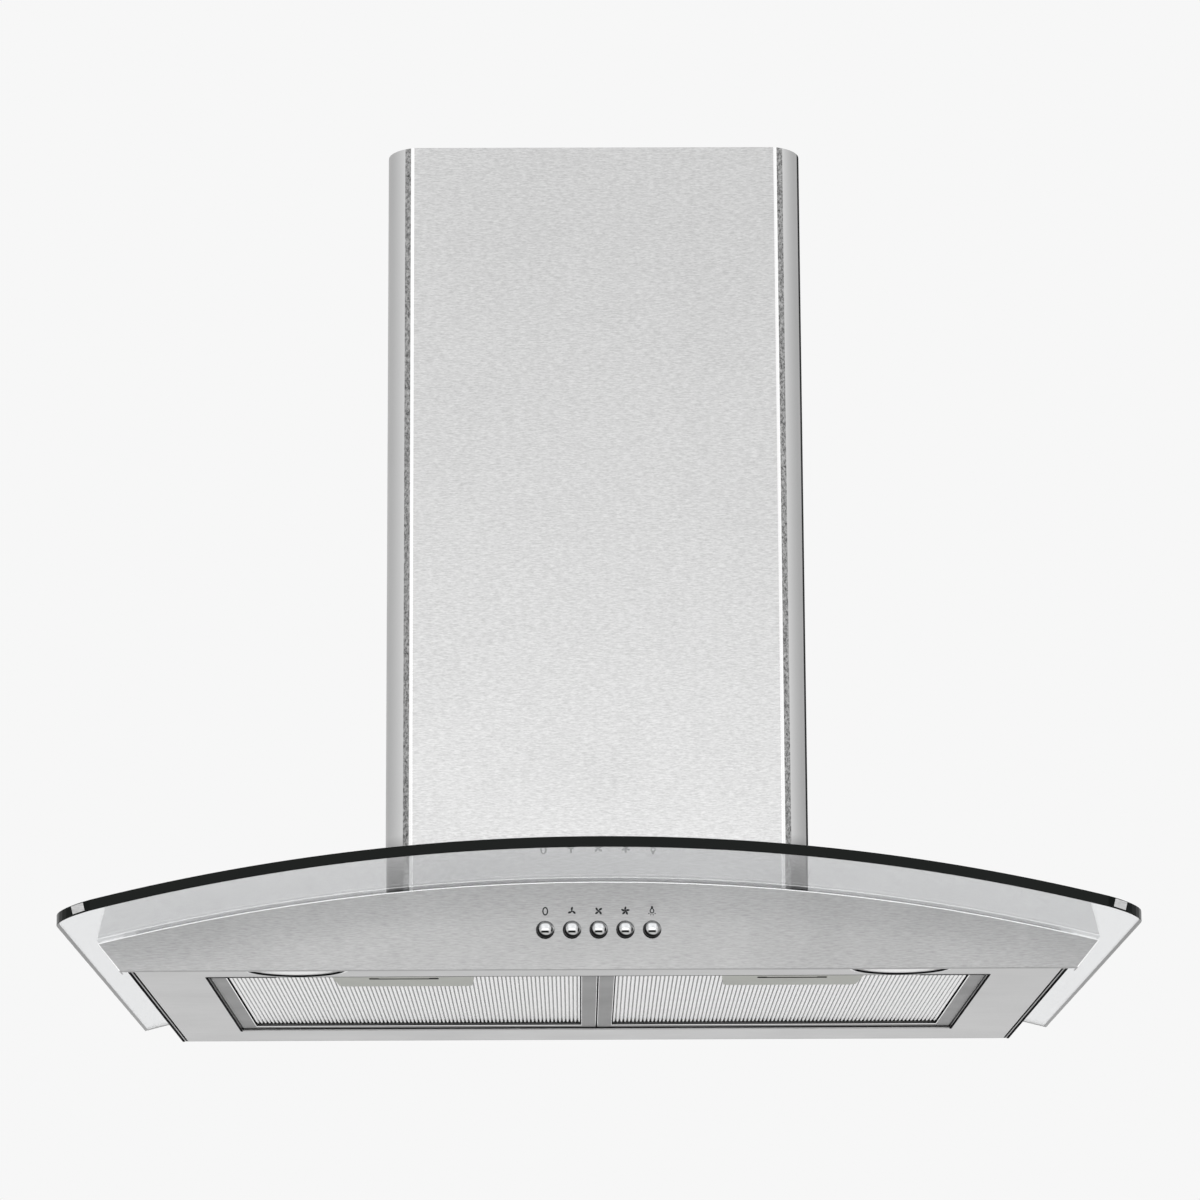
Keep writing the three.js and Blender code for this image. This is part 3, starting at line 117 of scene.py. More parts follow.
class Bench:
    """The edit-mode operators that every sub-assembly shapes its pieces with."""

    @staticmethod
    def clear() -> None:
        """Leaves edit mode and deselects everything."""
        if bpy.context.object and bpy.context.object.mode != "OBJECT":
            bpy.ops.object.mode_set(mode="OBJECT")
        bpy.ops.object.select_all(action="DESELECT")

    @classmethod
    def hold(cls, piece: Piece) -> None:
        """Makes one piece the only selected and active object.

        Args:
            piece: The piece.
        """
        cls.clear()
        piece.select_set(True)
        bpy.context.view_layer.objects.active = piece

    @classmethod
    @contextmanager
    def editing(cls, piece: Piece) -> Iterator[None]:
        """Edit mode on one piece, picking corners, with all of its mesh selected at the start.

        Args:
            piece: The piece to edit.

        Returns:
            A context that lasts as long as the edit.
        """
        cls.hold(piece)
        bpy.context.tool_settings.mesh_select_mode = (True, False, False)
        bpy.ops.object.mode_set(mode="EDIT")
        bpy.ops.mesh.select_all(action="SELECT")
        yield
        bpy.ops.object.mode_set(mode="OBJECT")

    @staticmethod
    def pick_faces(piece: Piece, test: FaceTest) -> None:
        """Selects, in edit mode, only the faces whose middle and normal pass a test.

        Args:
            piece: The piece in edit mode.
            test: Takes a face's middle and its normal.
        """
        bpy.context.tool_settings.mesh_select_mode = (False, False, True)
        mesh = bmesh.from_edit_mesh(piece.data)
        for face in mesh.faces:
            face.select_set(test(face.calc_center_median(), face.normal))
        bmesh.update_edit_mesh(piece.data)

    @classmethod
    def block(cls, low: Point, high: Point) -> Piece:
        """Adds a cuboid between two corners.

        Args:
            low: Lowest corner.
            high: Highest corner.

        Returns:
            The new object, at the origin.
        """
        cls.clear()
        middle = [(a + b) / 2 for a, b in zip(low, high)]
        sides = [b - a for a, b in zip(low, high)]
        bpy.ops.mesh.primitive_cube_add(size=1, location=middle, scale=sides)
        piece = bpy.context.object
        cls.apply_place(piece)
        return piece

    @classmethod
    def apply_place(cls, piece: Piece) -> None:
        """Moves a piece's place, turn and scale from its object into its mesh."""
        cls.hold(piece)
        bpy.ops.object.transform_apply(location=True, rotation=True, scale=True)

    @classmethod
    def chain(cls, points: Sequence[Point]) -> Piece:
        """Draws a line of edges, one extruded vertex after the other.

        Args:
            points: The places that the line passes through.

        Returns:
            The new object, whose mesh is the line.
        """
        cls.clear()
        bpy.ops.mesh.primitive_plane_add(size=1, location=points[0])
        piece = bpy.context.object
        with cls.editing(piece):
            bpy.ops.mesh.merge(type="CENTER")
            for here, there in zip(points, points[1:]):
                step = Vector(there) - Vector(here)
                bpy.ops.mesh.extrude_vertices_move(TRANSFORM_OT_translate={"value": step})
        cls.apply_place(piece)
        return piece

    @classmethod
    def prism(cls, outline: Sequence[Point], depth: Point) -> Piece:
        """Fills a closed outline and extrudes it.

        Args:
            outline: The corners of a flat outline, in order.
            depth: The extrusion.

        Returns:
            The new solid.
        """
        piece = cls.chain(outline)
        with cls.editing(piece):
            bpy.ops.mesh.edge_face_add()
            bpy.ops.mesh.extrude_region_move(TRANSFORM_OT_translate={"value": Vector(depth)})
            bpy.ops.mesh.select_all(action="SELECT")
            bpy.ops.mesh.normals_make_consistent(inside=False)
        return piece

    @classmethod
    def turned(cls, profile: Sequence[Point], centre: Point, axis: Axis, steps: int) -> Piece:
        """Spins a profile once round an axis.

        Args:
            profile: Places along the profile, open where both ends lie on the axis.
            centre: A place on the axis.
            axis: The direction of the axis.
            steps: Copies of the profile in the turn.

        Returns:
            The closed solid.
        """
        piece = cls.chain(profile)
        with cls.editing(piece):
            bpy.ops.mesh.spin(steps=steps, angle=FULL_TURN, center=centre, axis=axis.value)
            bpy.ops.mesh.select_all(action="SELECT")
            bpy.ops.mesh.remove_doubles(threshold=WELD)
            bpy.ops.mesh.normals_make_consistent(inside=False)
        return piece

    @classmethod
    def modify(cls, piece: Piece, kind: str, **settings: object) -> None:
        """Adds a modifier to a piece and applies it.

        Args:
            piece: The piece.
            kind: The modifier's type.
            settings: Its settings by name.
        """
        cls.hold(piece)
        modifier = piece.modifiers.new(kind.title(), kind)
        for name, value in settings.items():
            setattr(modifier, name, value)
        bpy.ops.object.modifier_apply(modifier=modifier.name)

    @classmethod
    def carve(cls, piece: Piece, tool: Piece, how: Cut = Cut.SUBTRACT) -> None:
        """Cuts, joins or crops a piece with a tool, which is used up.

        Args:
            piece: The piece that stays.
            tool: The solid that works on it.
            how: What it does.
        """
        cls.modify(piece, "BOOLEAN", object=tool, operation=how.value, solver="EXACT")
        bpy.data.objects.remove(tool)

    @classmethod
    def soften(cls, piece: Piece, width: float, segments: int = 2, angle: float = 30) -> None:
        """Rounds a piece's sharp edges.

        Args:
            piece: The piece.
            width: The rounding's width.
            segments: Facets across it.
            angle: Degrees past which an edge counts as sharp.
        """
        limit = math.radians(angle)
        cls.modify(piece, "BEVEL", width=width, segments=segments, limit_method="ANGLE", angle_limit=limit)

    @classmethod
    def smooth(cls, piece: Piece, angle: float = 32) -> None:
        """Shades a piece smooth across its blunt edges, and keeps its large faces flat.

        Args:
            piece: The piece.
            angle: Degrees under which an edge is shaded over.
        """
        cls.hold(piece)
        bpy.ops.object.shade_smooth_by_angle(angle=math.radians(angle))
        cls.modify(piece, "WEIGHTED_NORMAL", mode="FACE_AREA", weight=100, keep_sharp=True)

    @classmethod
    def joined(cls, pieces: Sequence[Piece]) -> Piece:
        """Joins meshes into the first of them.

        Args:
            pieces: The meshes to join.

        Returns:
            The first of them, which now holds them all.
        """
        cls.hold(pieces[0])
        for piece in pieces[1:]:
            piece.select_set(True)
        bpy.ops.object.join()
        return pieces[0]

    @classmethod
    def copied(cls, piece: Piece, shift: Point = (0, 0, 0)) -> Piece:
        """Copies a piece with its own mesh, moved aside.

        Args:
            piece: The piece to copy.
            shift: How far the copy stands from it.

        Returns:
            The copy, at the origin.
        """
        twin = piece.copy()
        twin.data = piece.data.copy()
        bpy.context.scene.collection.objects.link(twin)
        twin.data.transform(Matrix.Translation(Vector(shift)))
        return twin

    @classmethod
    def mirrored(cls, piece: Piece) -> Piece:
        """Copies a piece to the other side of the middle plane.

        Args:
            piece: The piece to copy.

        Returns:
            The copy, with its faces pointing outwards.
        """
        twin = cls.copied(piece)
        twin.data.transform(Matrix.Scale(-1, 4, Vector(Axis.X.value)))
        with cls.editing(twin):
            bpy.ops.mesh.normals_make_consistent(inside=False)
        return twin


# --------------------------------------------------------------------------------- the finishes


class Texture(Enum):
    """The pattern that gives a finish its detail, and on the buttons and the chimney's corners a painted
    reflection and painted shade.
    """

    GRAIN = "brushed grain"
    SPANGLE = "zinc spangle"
    MOULD = "moulded skin"
    FOAM = "foam cells"
    POLISH = "polish"
    # Painted reflection on the buttons' half balls.
    PAINTED_REFLECTION = "mirror bead"
    # Painted shade at the chimney's corners and foot.
    PAINTED_CORNER_SHADE = "turned corner"


class EffectGroups:
    """Shader node groups that several finishes share, each built once."""

    # Painted reflection on a half ball: dark ground round its lower left, a softbox's highlight and a dark
    # streak under it.
    PAINTED_GROUND_MIDDLE = (0.13, 0.17)  # what a half ball mirrors, in its radii from its middle, across and up
    PAINTED_GROUND_RIM = (0.85, 0.93)
    PAINTED_SOFTBOX_HIGHLIGHT = ((0.02, 0.18), (0.46, 0.4))
    PAINTED_DARK_STREAK = ((-0.02, -0.36), (0.42, 0.11))

    def __init__(self) -> None:
        """Builds a group for each texture, and one for the smudges that hands and cloths leave in the gloss."""
        self.groups = {
            Texture.GRAIN: self._grain(),
            Texture.SPANGLE: self._spangle(),
            Texture.MOULD: self._uneven("moulded_skin", (0.35, 0.65), (0.05, 3.0), (1.6, 2.0, 0.7)),
            Texture.FOAM: self._foam(),
            Texture.POLISH: self._uneven("polish", (0.3, 0.7), (1.0, 2.0)),
            Texture.PAINTED_REFLECTION: self._painted_reflection(),
            Texture.PAINTED_CORNER_SHADE: self._turn(),
        }
        self.smudge = self._uneven("smudge", (0.35, 0.7), (1.0, 4.0, 0.6))

    @staticmethod
    def _start(name: str) -> tuple[Tree, Node, Node]:
        """Makes an empty group that turns a Vector into a Tone and a Height.

        Args:
            name: The group's name.

        Returns:
            The group, its input node and its output node.
        """
        group = bpy.data.node_groups.new(name, "ShaderNodeTree")
        group.interface.new_socket(name="Vector", in_out="INPUT", socket_type="NodeSocketVector")
        for output in ("Tone", "Height"):
            group.interface.new_socket(name=output, in_out="OUTPUT", socket_type="NodeSocketFloat")
        return group, group.nodes.new("NodeGroupInput"), group.nodes.new("NodeGroupOutput")

    @staticmethod
    def _noise(group: Tree, source: Socket, scale: float, detail: float, rough: float = 0.5) -> Socket:
        """Adds a noise texture that reads a vector.

        Args:
            group: The group that takes the nodes.
            source: The vector.
            scale: Cells per unit of the vector.
            detail: Octaves.
            rough: Share of each finer octave.

        Returns:
            The noise.
        """
        noise = group.nodes.new("ShaderNodeTexNoise")
        noise.inputs["Scale"].default_value = scale
        noise.inputs["Detail"].default_value = detail
        noise.inputs["Roughness"].default_value = rough
        group.links.new(source, noise.inputs["Vector"])
        return noise.outputs["Fac"]

    @staticmethod
    def _spread(group: Tree, source: Socket, low: float, high: float) -> Socket:
        """Stretches the values between two limits over 0 to 1.

        Args:
            group: The group that takes the nodes.
            source: The value.
            low: The value that gives 0.
            high: The value that gives 1.

        Returns:
            The stretched value.
        """
        span = group.nodes.new("ShaderNodeMapRange")
        span.inputs["From Min"].default_value = low
        span.inputs["From Max"].default_value = high
        group.links.new(source, span.inputs["Value"])
        return span.outputs["Result"]

    @staticmethod
    def _blend(group: Tree, first: Socket, second: Socket, share: float) -> Socket:
        """Mixes two values.

        Args:
            group: The group that takes the nodes.
            first: The first value.
            second: The second value.
            share: Share of the second.

        Returns:
            The mixed value.
        """
        mix = group.nodes.new("ShaderNodeMix")
        mix.inputs["Factor"].default_value = share
        group.links.new(first, mix.inputs["A"])
        group.links.new(second, mix.inputs["B"])
        return mix.outputs["Result"]

    def _grain(self) -> Tree:
        """Long scratches under shorter, finer ones, as a belt leaves them.

        Returns:
            The group.
        """
        group, inlet, outlet = self._start("brushed_grain")
        vector = inlet.outputs["Vector"]
        coarse = self._noise(group, vector, 1.0, 3.0)
        fine = self._noise(group, vector, 2.7, 2.0)
        both = self._blend(group, coarse, fine, 0.45)
        group.links.new(self._spread(group, both, 0.36, 0.64), outlet.inputs["Tone"])
        group.links.new(both, outlet.inputs["Height"])
        return group

    def _spangle(self) -> Tree:
        """Zinc crystals of one tone each, with a faint rim.

        Returns:
            The group.
        """
        group, inlet, outlet = self._start("zinc_spangle")
        cells = group.nodes.new("ShaderNodeTexVoronoi")
        cells.inputs["Scale"].default_value = 1.0
        group.links.new(inlet.outputs["Vector"], cells.inputs["Vector"])
        tone = group.nodes.new("ShaderNodeRGBToBW")
        group.links.new(cells.outputs["Color"], tone.inputs["Color"])
        group.links.new(tone.outputs["Val"], outlet.inputs["Tone"])
        group.links.new(cells.outputs["Distance"], outlet.inputs["Height"])
        return group

    def _uneven(self, name: str, limits: Pair, tone: Sequence[float], height: Sequence[float] = ()) -> Tree:
        """Slow changes of tone, and a relief that follows them or is a finer skin of its own.

        Args:
            name: The group's name.
            limits: The noise that gives tones of 0 and 1.
            tone: Scale and detail of the tone's noise, and its roughness.
            height: The same of the relief's noise, where it has its own.

        Returns:
            The group.
        """
        group, inlet, outlet = self._start(name)
        vector = inlet.outputs["Vector"]
        slow = self._noise(group, vector, *tone)
        group.links.new(self._spread(group, slow, *limits), outlet.inputs["Tone"])
        group.links.new(self._noise(group, vector, *height) if height else slow, outlet.inputs["Height"])
        return group

    def _foam(self) -> Tree:
        """Closed cells with thin walls.

        Returns:
            The group.
        """
        group, inlet, outlet = self._start("foam_cells")
        cells = group.nodes.new("ShaderNodeTexVoronoi")
        cells.feature = "SMOOTH_F1"
        cells.inputs["Scale"].default_value = 1.0
        group.links.new(inlet.outputs["Vector"], cells.inputs["Vector"])
        group.links.new(cells.outputs["Distance"], outlet.inputs["Tone"])
        group.links.new(cells.outputs["Distance"], outlet.inputs["Height"])
        return group

    @staticmethod
    def _math(group: Tree, operation: str, *values: Socket | float) -> Socket:
        """Adds a math node whose inputs are sockets or plain numbers.

        Args:
            group: The group that takes the nodes.
            operation: The node's operation.
            values: Its inputs, in order.

        Returns:
            The result.
        """
        node = group.nodes.new("ShaderNodeMath")
        node.operation = operation
        for socket, value in zip(node.inputs, values):
            if isinstance(value, Socket):
                group.links.new(value, socket)
            else:
                socket.default_value = value
        return node.outputs["Value"]

    def _patch(self, group: Tree, place: Sequence[Socket], middle: Pair, half: Pair) -> Socket:
        """Marks a soft-edged rectangle: 1 inside it, 0 outside.

        Args:
            group: The group that takes the nodes.
            place: The place, across and up.
            middle: The rectangle's middle.
            half: Half its width and half its height.

        Returns:
            The mask.
        """
        reach = []
        for along, at, size in zip(place, middle, half):
            aside = self._math(group, "ABSOLUTE", self._math(group, "SUBTRACT", along, at))
            reach.append(self._math(group, "DIVIDE", aside, size))
        return self._spread(group, self._math(group, "MAXIMUM", *reach), 1.2, 0.95)

    def _distance(self, group: Tree, place: Sequence[Socket], middle: Pair) -> Socket:
        """Measures how far a place lies from a middle.

        Args:
            group: The group that takes the nodes.
            place: The place, across and up.
            middle: The middle.

        Returns:
            The distance.
        """
        squares = []
        for along, at in zip(place, middle):
            squares.append(self._math(group, "POWER", self._math(group, "SUBTRACT", along, at), 2))
        return self._math(group, "SQRT", self._math(group, "ADD", *squares))

    def _painted_reflection(self) -> Tree:
        """Painted reflection in a polished half ball's colour: a softbox's highlight, a dark line, and dark
        ground at its lower left.

        Returns:
            The group.
        """
        group, inlet, outlet = self._start("painted_bead_reflection")
        split = group.nodes.new("ShaderNodeSeparateXYZ")
        group.links.new(inlet.outputs["Vector"], split.inputs["Vector"])
        pitch = BUTTON_PITCH / BUTTON_RADIUS
        across = self._math(group, "WRAP", split.outputs["X"], pitch / 2, -pitch / 2)
        up = self._math(group, "SUBTRACT", split.outputs["Z"], (CROWN + BUTTON_HEIGHT) / BUTTON_RADIUS)
        place = (across, up)
        # Painted reflection: dark ground round the lower left, a softbox's highlight and a dark streak under
        # it.
        ground = self._spread(group, self._distance(group, place, self.PAINTED_GROUND_MIDDLE), *self.PAINTED_GROUND_RIM)
        softbox, painted_streak = (self._patch(group, place, *patch) for patch in (self.PAINTED_SOFTBOX_HIGHLIGHT, self.PAINTED_DARK_STREAK))
        tone = self._math(group, "MULTIPLY_ADD", softbox, 0.35, 0.65)
        for mask in (painted_streak, ground):
            tone = self._math(group, "MULTIPLY", tone, self._math(group, "SUBTRACT", 1, mask))
        group.links.new(tone, outlet.inputs["Tone"])
        group.links.new(self._noise(group, inlet.outputs["Vector"], 0.7, 2.0), outlet.inputs["Height"])
        return group

    def _turn(self) -> Tree:
        """Painted shade on steel: darker where it turns away at the chimney's sides, and at its foot.

        Returns:
            The group.
        """
        group, inlet, outlet = self._start("painted_corner_shade")
        split = group.nodes.new("ShaderNodeSeparateXYZ")
        group.links.new(inlet.outputs["Vector"], split.inputs["Vector"])
        aside = self._math(group, "ABSOLUTE", split.outputs["X"])
        grain = self._noise(group, inlet.outputs["Vector"], 900.0, 2.0)
        # Painted shade: darker towards the sides and towards the foot.
        turn = self._math(group, "MULTIPLY_ADD", self._spread(group, aside, *CORNER_PAINTED_SHADE), 0.5, 0.5)
        foot = self._spread(group, split.outputs["Z"], *(CROWN + height for height in FOOT_PAINTED_SHADE))
        shade = self._math(group, "MULTIPLY", turn, foot)
        group.links.new(self._blend(group, shade, grain, 0.06), outlet.inputs["Tone"])
        group.links.new(grain, outlet.inputs["Height"])
        return group


@dataclass(frozen=True)
class Finish:
    """A surface finish.

    Attributes:
        name: The material's name.
        slot: The record's material slot; not used.
        color: Linear colour.
        roughness: Middle roughness.
        metallic: 1 for bare metal.
        texture: The pattern.
        stretch: Cells of the pattern per metre along each axis.
        tone: Share by which the pattern lightens and darkens the colour.
        gloss_spread: How far smudges move the roughness.
        relief: Height of the pattern's bumps.
        specular: Specular level.
        coat: Coat weight.
        transmission: Transmission weight.
        emission: Emission strength, in the finish's colour.
    """

    name: str
    slot: str
    color: Point
    roughness: float
    metallic: float = 0.0
    texture: Texture = Texture.MOULD
    stretch: Point = (900.0, 900.0, 900.0)
    tone: float = 0.05
    gloss_spread: float = 0.04
    relief: float = 0.02 * MM
    specular: float = 0.5
    coat: float = 0.0
    transmission: float = 0.0
    emission: float = 0.0


class PaintShop:
    """Builds each finish's material once."""

    SMUDGE_CELLS = 14.0  # per metre

    def __init__(self) -> None:
        """Builds the shared effects."""
        self.effects = EffectGroups()
        self.made: dict[str, Material] = {}

    def material(self, finish: Finish) -> Material:
        """Gives a finish's material.

        Args:
            finish: The finish.

        Returns:
            Its material, built on the first call.
        """
        if finish.name not in self.made:
            self.made[finish.name] = self._build(finish)
        return self.made[finish.name]

    def _effect(self, tree: Tree, group: Tree, source: Socket, scale: Point) -> Node:
        """Places a shared effect, scaled along the three axes.

        Args:
            tree: The material's nodes.
            group: The effect.
            source: The coordinates that it reads.
            scale: Its scale along each axis.

        Returns:
            The placed group.
        """
        mapping = tree.nodes.new("ShaderNodeMapping")
        mapping.inputs["Scale"].default_value = scale
        tree.links.new(source, mapping.inputs["Vector"])
        effect = tree.nodes.new("ShaderNodeGroup")
        effect.node_tree = group
        tree.links.new(mapping.outputs["Vector"], effect.inputs["Vector"])
        return effect

    def _build(self, finish: Finish) -> Material:
        """Builds the nodes of one material.

        Args:
            finish: The finish.

        Returns:
            The new material.
        """
        material = bpy.data.materials.new(finish.name)
        material.use_nodes = True
        tree = material.node_tree
        shader = tree.nodes["Principled BSDF"]
        place = tree.nodes.new("ShaderNodeTexCoord").outputs["Object"]
        pattern = self._effect(tree, self.effects.groups[finish.texture], place, finish.stretch)
        patches = self._effect(tree, self.effects.smudge, place, (self.SMUDGE_CELLS,) * 3)

        shade = tree.nodes.new("ShaderNodeMix")
        shade.data_type = "RGBA"
        for socket, lift in (("A", 1 - finish.tone), ("B", 1 + finish.tone)):
            color = [min(1.0, part * lift) for part in finish.color]
            next(s for s in shade.inputs if s.name == socket and s.type == "RGBA").default_value = (*color, 1)
        tree.links.new(pattern.outputs["Tone"], shade.inputs["Factor"])
        shaded = next(s for s in shade.outputs if s.type == "RGBA")
        tree.links.new(shaded, shader.inputs["Base Color"])

        gloss = tree.nodes.new("ShaderNodeMapRange")
        gloss.inputs["To Min"].default_value = max(0.0, finish.roughness - finish.gloss_spread)
        gloss.inputs["To Max"].default_value = finish.roughness + finish.gloss_spread
        tree.links.new(patches.outputs["Tone"], gloss.inputs["Value"])
        tree.links.new(gloss.outputs["Result"], shader.inputs["Roughness"])

        bump = tree.nodes.new("ShaderNodeBump")
        bump.inputs["Distance"].default_value = finish.relief
        tree.links.new(pattern.outputs["Height"], bump.inputs["Height"])
        tree.links.new(bump.outputs["Normal"], shader.inputs["Normal"])

        shader.inputs["Metallic"].default_value = finish.metallic
        shader.inputs["Specular IOR Level"].default_value = finish.specular
        shader.inputs["Coat Weight"].default_value = finish.coat
        shader.inputs["Coat Roughness"].default_value = 0.08
        shader.inputs["Transmission Weight"].default_value = finish.transmission
        if finish.emission:
            tree.links.new(shaded, shader.inputs["Emission Color"])
            shader.inputs["Emission Strength"].default_value = finish.emission
        return material


def metal(
    name: str, slot: str, level: float, roughness: float, texture: Texture, stretch: Point, **more: float
) -> Finish:
    """A neutral bare metal.

    Args:
        name: The material's name.
        slot: The record's slot.
        level: Linear reflectance.
        roughness: Roughness.
        texture: Its pattern.
        stretch: Cells per metre.
        more: Other fields of the finish.

    Returns:
        The finish.
    """
    return Finish(name, slot, (level, level, level), roughness, 1.0, texture, stretch, **more)


def steel(
    name: str, level: float, roughness: float, stretch: Point, tone: float, relief: float = 0.002 * MM,
    texture: Texture = Texture.GRAIN,
) -> Finish:
    """A finish of the hood's stainless sheet.

    Args:
        name: The material's name.
        level: Linear reflectance.
        roughness: Roughness.
        stretch: Cells per metre.
        tone: Share by which the pattern lightens and darkens it.
        relief: Height of the pattern's bumps.
        texture: Its pattern.

    Returns:
        The finish.
    """
    return metal(name, "brushed_steel", level, roughness, texture, stretch, tone=tone, relief=relief)


CHIMNEY_GRAIN = (240.0, 240.0, 1300.0)
PANEL_GRAIN = (150, 900, 2000)
EVEN = (1.0, 1.0, 1.0)
CHIMNEY_STEEL = steel("chimney_steel", 0.61, 0.34, CHIMNEY_GRAIN, 0.16, 0.003 * MM)
# Painted highlight along the bend: reflectance near white, smoother than the sheet round it.
BEND_PAINTED_HIGHLIGHT_STEEL = steel("bend_steel_painted_highlight", 0.98, 0.16, CHIMNEY_GRAIN, 0.02)
# Painted shade beside the bend: darker steel, with coarse grain.
GRAIN_AND_PAINTED_SHADE_STEEL = steel("grain_and_painted_shade_steel", 0.3, 0.42, (700.0, 700.0, 500.0), 0.75, 0.006 * MM)
# Painted shade at the corners, from the pattern's darkening towards the sides and the foot.
CORNER_PAINTED_SHADE_STEEL = steel("corner_steel_painted_shade", 0.39, 0.34, EVEN, 0.77, texture=Texture.PAINTED_CORNER_SHADE)
# Painted shade: the right corner darker than the left.
FAR_CORNER_PAINTED_SHADE_STEEL = steel("far_corner_steel_painted_shade", 0.345, 0.34, EVEN, 0.82, texture=Texture.PAINTED_CORNER_SHADE)
SHADED_STEEL = Finish(
    "shaded_steel", "brushed_steel", (0.03, 0.03, 0.032), 0.8, 0.0, Texture.GRAIN, CHIMNEY_GRAIN, tone=0.3,
    relief=0.002 * MM, specular=0.02,
)
CANOPY_STEEL = steel("canopy_steel", 0.39, 0.34, PANEL_GRAIN, 0.16)
# Painted highlight on the front panel's rim: near-white steel.
RIM_PAINTED_HIGHLIGHT_STEEL = steel("rim_steel_painted_highlight", 0.95, 0.2, PANEL_GRAIN, 0.03)
UNDERSIDE_STEEL = steel("underside_steel", 0.595, 0.34, (24, 500, 700), 0.03)
GALVANISED = metal("galvanised_sheet", "galvanised_steel", 0.5, 0.44, Texture.SPANGLE, (120,) * 3, tone=0.1)
ZINC = metal("zinc_plate", "zinc_steel", 0.55, 0.34, Texture.POLISH, (300,) * 3, tone=0.06)
# Chrome with a painted reflection in its colour: a softbox's highlight, a dark streak and dark ground.
CHROME_PAINTED_REFLECTION = metal(
    "chrome_plate_painted_reflection", "chrome", 0.5, 0.05, Texture.PAINTED_REFLECTION, (1 / BUTTON_RADIUS,) * 3, tone=0.97, gloss_spread=0.02,
    relief=0.003 * MM,
)
BEZEL_CHROME = metal(
    "bezel_satin", "lamp_bezel", 0.8, 0.16, Texture.POLISH, (200,) * 3, tone=0.03, relief=0.004 * MM
)
FILTER_ALUMINIUM = metal(
    "filter_aluminium", "filter_frame", 0.2, 0.36, Texture.GRAIN, (30, 500, 500), tone=0.08, relief=0.006 * MM
)
RIB_ALUMINIUM = metal(
    "rib_aluminium", "filter_mesh", 1.0, 0.24, Texture.POLISH, (400,) * 3, tone=0.05, relief=0.006 * MM
)
CLEAR_GLASS = Finish(
    "clear_glass", "canopy_glass", (0.88, 0.892, 0.904), 0.0, 0.0, Texture.POLISH, (6.0, 6.0, 6.0), tone=0.01,
    gloss_spread=0.0, relief=0.01 * MM, transmission=1.0,
)
GLASS_EDGE = Finish(
    "glass_edge", "canopy_glass", (0.003, 0.005, 0.004), 0.12, 0.0, Texture.POLISH, (60.0, 60.0, 60.0),
    specular=0.1,
)
LENS_GLASS = Finish(
    "lens_glass", "lamp_lens", (0.88, 0.88, 0.88), 0.22, 0.0, Texture.POLISH, (90.0, 90.0, 90.0), tone=0.04,
    coat=0.6, emission=0.12,
)
LATCH_PLASTIC = Finish("latch_moulding", "latch_plastic", (0.57, 0.58, 0.53), 0.48, tone=0.03)
BLACK_PLASTIC = Finish("black_moulding", "black_plastic", (0.02, 0.021, 0.022), 0.5, tone=0.15)
GREY_PLASTIC = Finish("grey_moulding", "grey_plastic", (0.27, 0.28, 0.29), 0.5, tone=0.06)
WHITE_PLASTIC = Finish("white_moulding", "white_plastic", (0.76, 0.76, 0.73), 0.46, tone=0.03)
FOAM = Finish(
    "closed_cell_foam", "foam_rubber", (0.012, 0.012, 0.013), 0.85, 0.0, Texture.FOAM, (900.0,) * 3, tone=0.3,
    relief=0.15 * MM,
)
PRINT = Finish("panel_print", "brushed_steel", (0.02, 0.021, 0.023), 0.6, tone=0.1, specular=0.2)
# Black rubber for the seals round the filters' opening, and black for painted shadow in gaps.
BLACK_RUBBER_AND_PAINTED_SHADOW = Finish("black_rubber_and_painted_shadow", "foam_rubber", (0.008, 0.008, 0.009), 0.9, tone=0.2, specular=0.02)


# ----------------------------------------------------------------------------- the sub-assemblies


@dataclass
class SubAssembly:
    """What every sub-assembly does with its finished pieces.

    Attributes:
        shop: Where its materials come from.
    """

    shop: PaintShop

    @property
    def log(self) -> logging.Logger:
        """The sub-assembly's log."""
        return logging.getLogger(type(self).__name__)

    def settle(
        self,
        piece: Piece,
        name: str,
        finish: Finish,
        rides_on: str = "root",
        stands_for: Optional[str] = None,
        lower: bool = True,
    ) -> Piece:
        """Names, paints and places a finished piece, and hands it to the frame.

        Args:
            piece: The finished piece.
            name: Its name.
            finish: Its finish, unless it has materials of its own already.
            rides_on: The body that carries it.
            stands_for: The CAD node that it replaces.
            lower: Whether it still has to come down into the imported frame.

        Returns:
            The piece.
        """
        Bench.clear()
        piece.name = piece.data.name = name
        if lower:
            piece.data.transform(Matrix.Translation((0, 0, CROWN)))
        if not piece.data.materials:
            piece.data.materials.append(self.shop.material(finish))
        if stands_for:
            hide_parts(stands_for)
        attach(piece, rides_on)
        self.log.info("%s: %d faces, rides on %s", name, len(piece.data.polygons), rides_on)
        return piece

    def dress(self, node: str, finish: Finish, edge: float = 0.25 * MM, angle: float = 32) -> Piece:
        """Dresses a merged copy of a CAD node: its edges rounded, its curves smooth.

        Args:
            node: The CAD node.
            finish: The copy's finish.
            edge: Width of the rounding.
            angle: Degrees past which an edge stays sharp in the shading.

        Returns:
            The copy, which stands for the node.
        """
        solid = frame["nodes"][node]
        rides_on = solid["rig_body"]
        copy = solid.copy()
        copy.data = solid.data.copy()
        copy.parent = None
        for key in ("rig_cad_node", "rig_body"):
            del copy[key]
        copy.data.materials.clear()
        bpy.context.scene.collection.objects.link(copy)
        with Bench.editing(copy):
            bpy.ops.mesh.remove_doubles(threshold=WELD * 5)
            bpy.ops.mesh.dissolve_limited(angle_limit=math.radians(0.3))
        if edge:
            Bench.soften(copy, edge, 2, 35)
        Bench.smooth(copy, angle)
        return self.settle(copy, node + "_dressed", finish, rides_on, node, lower=False)


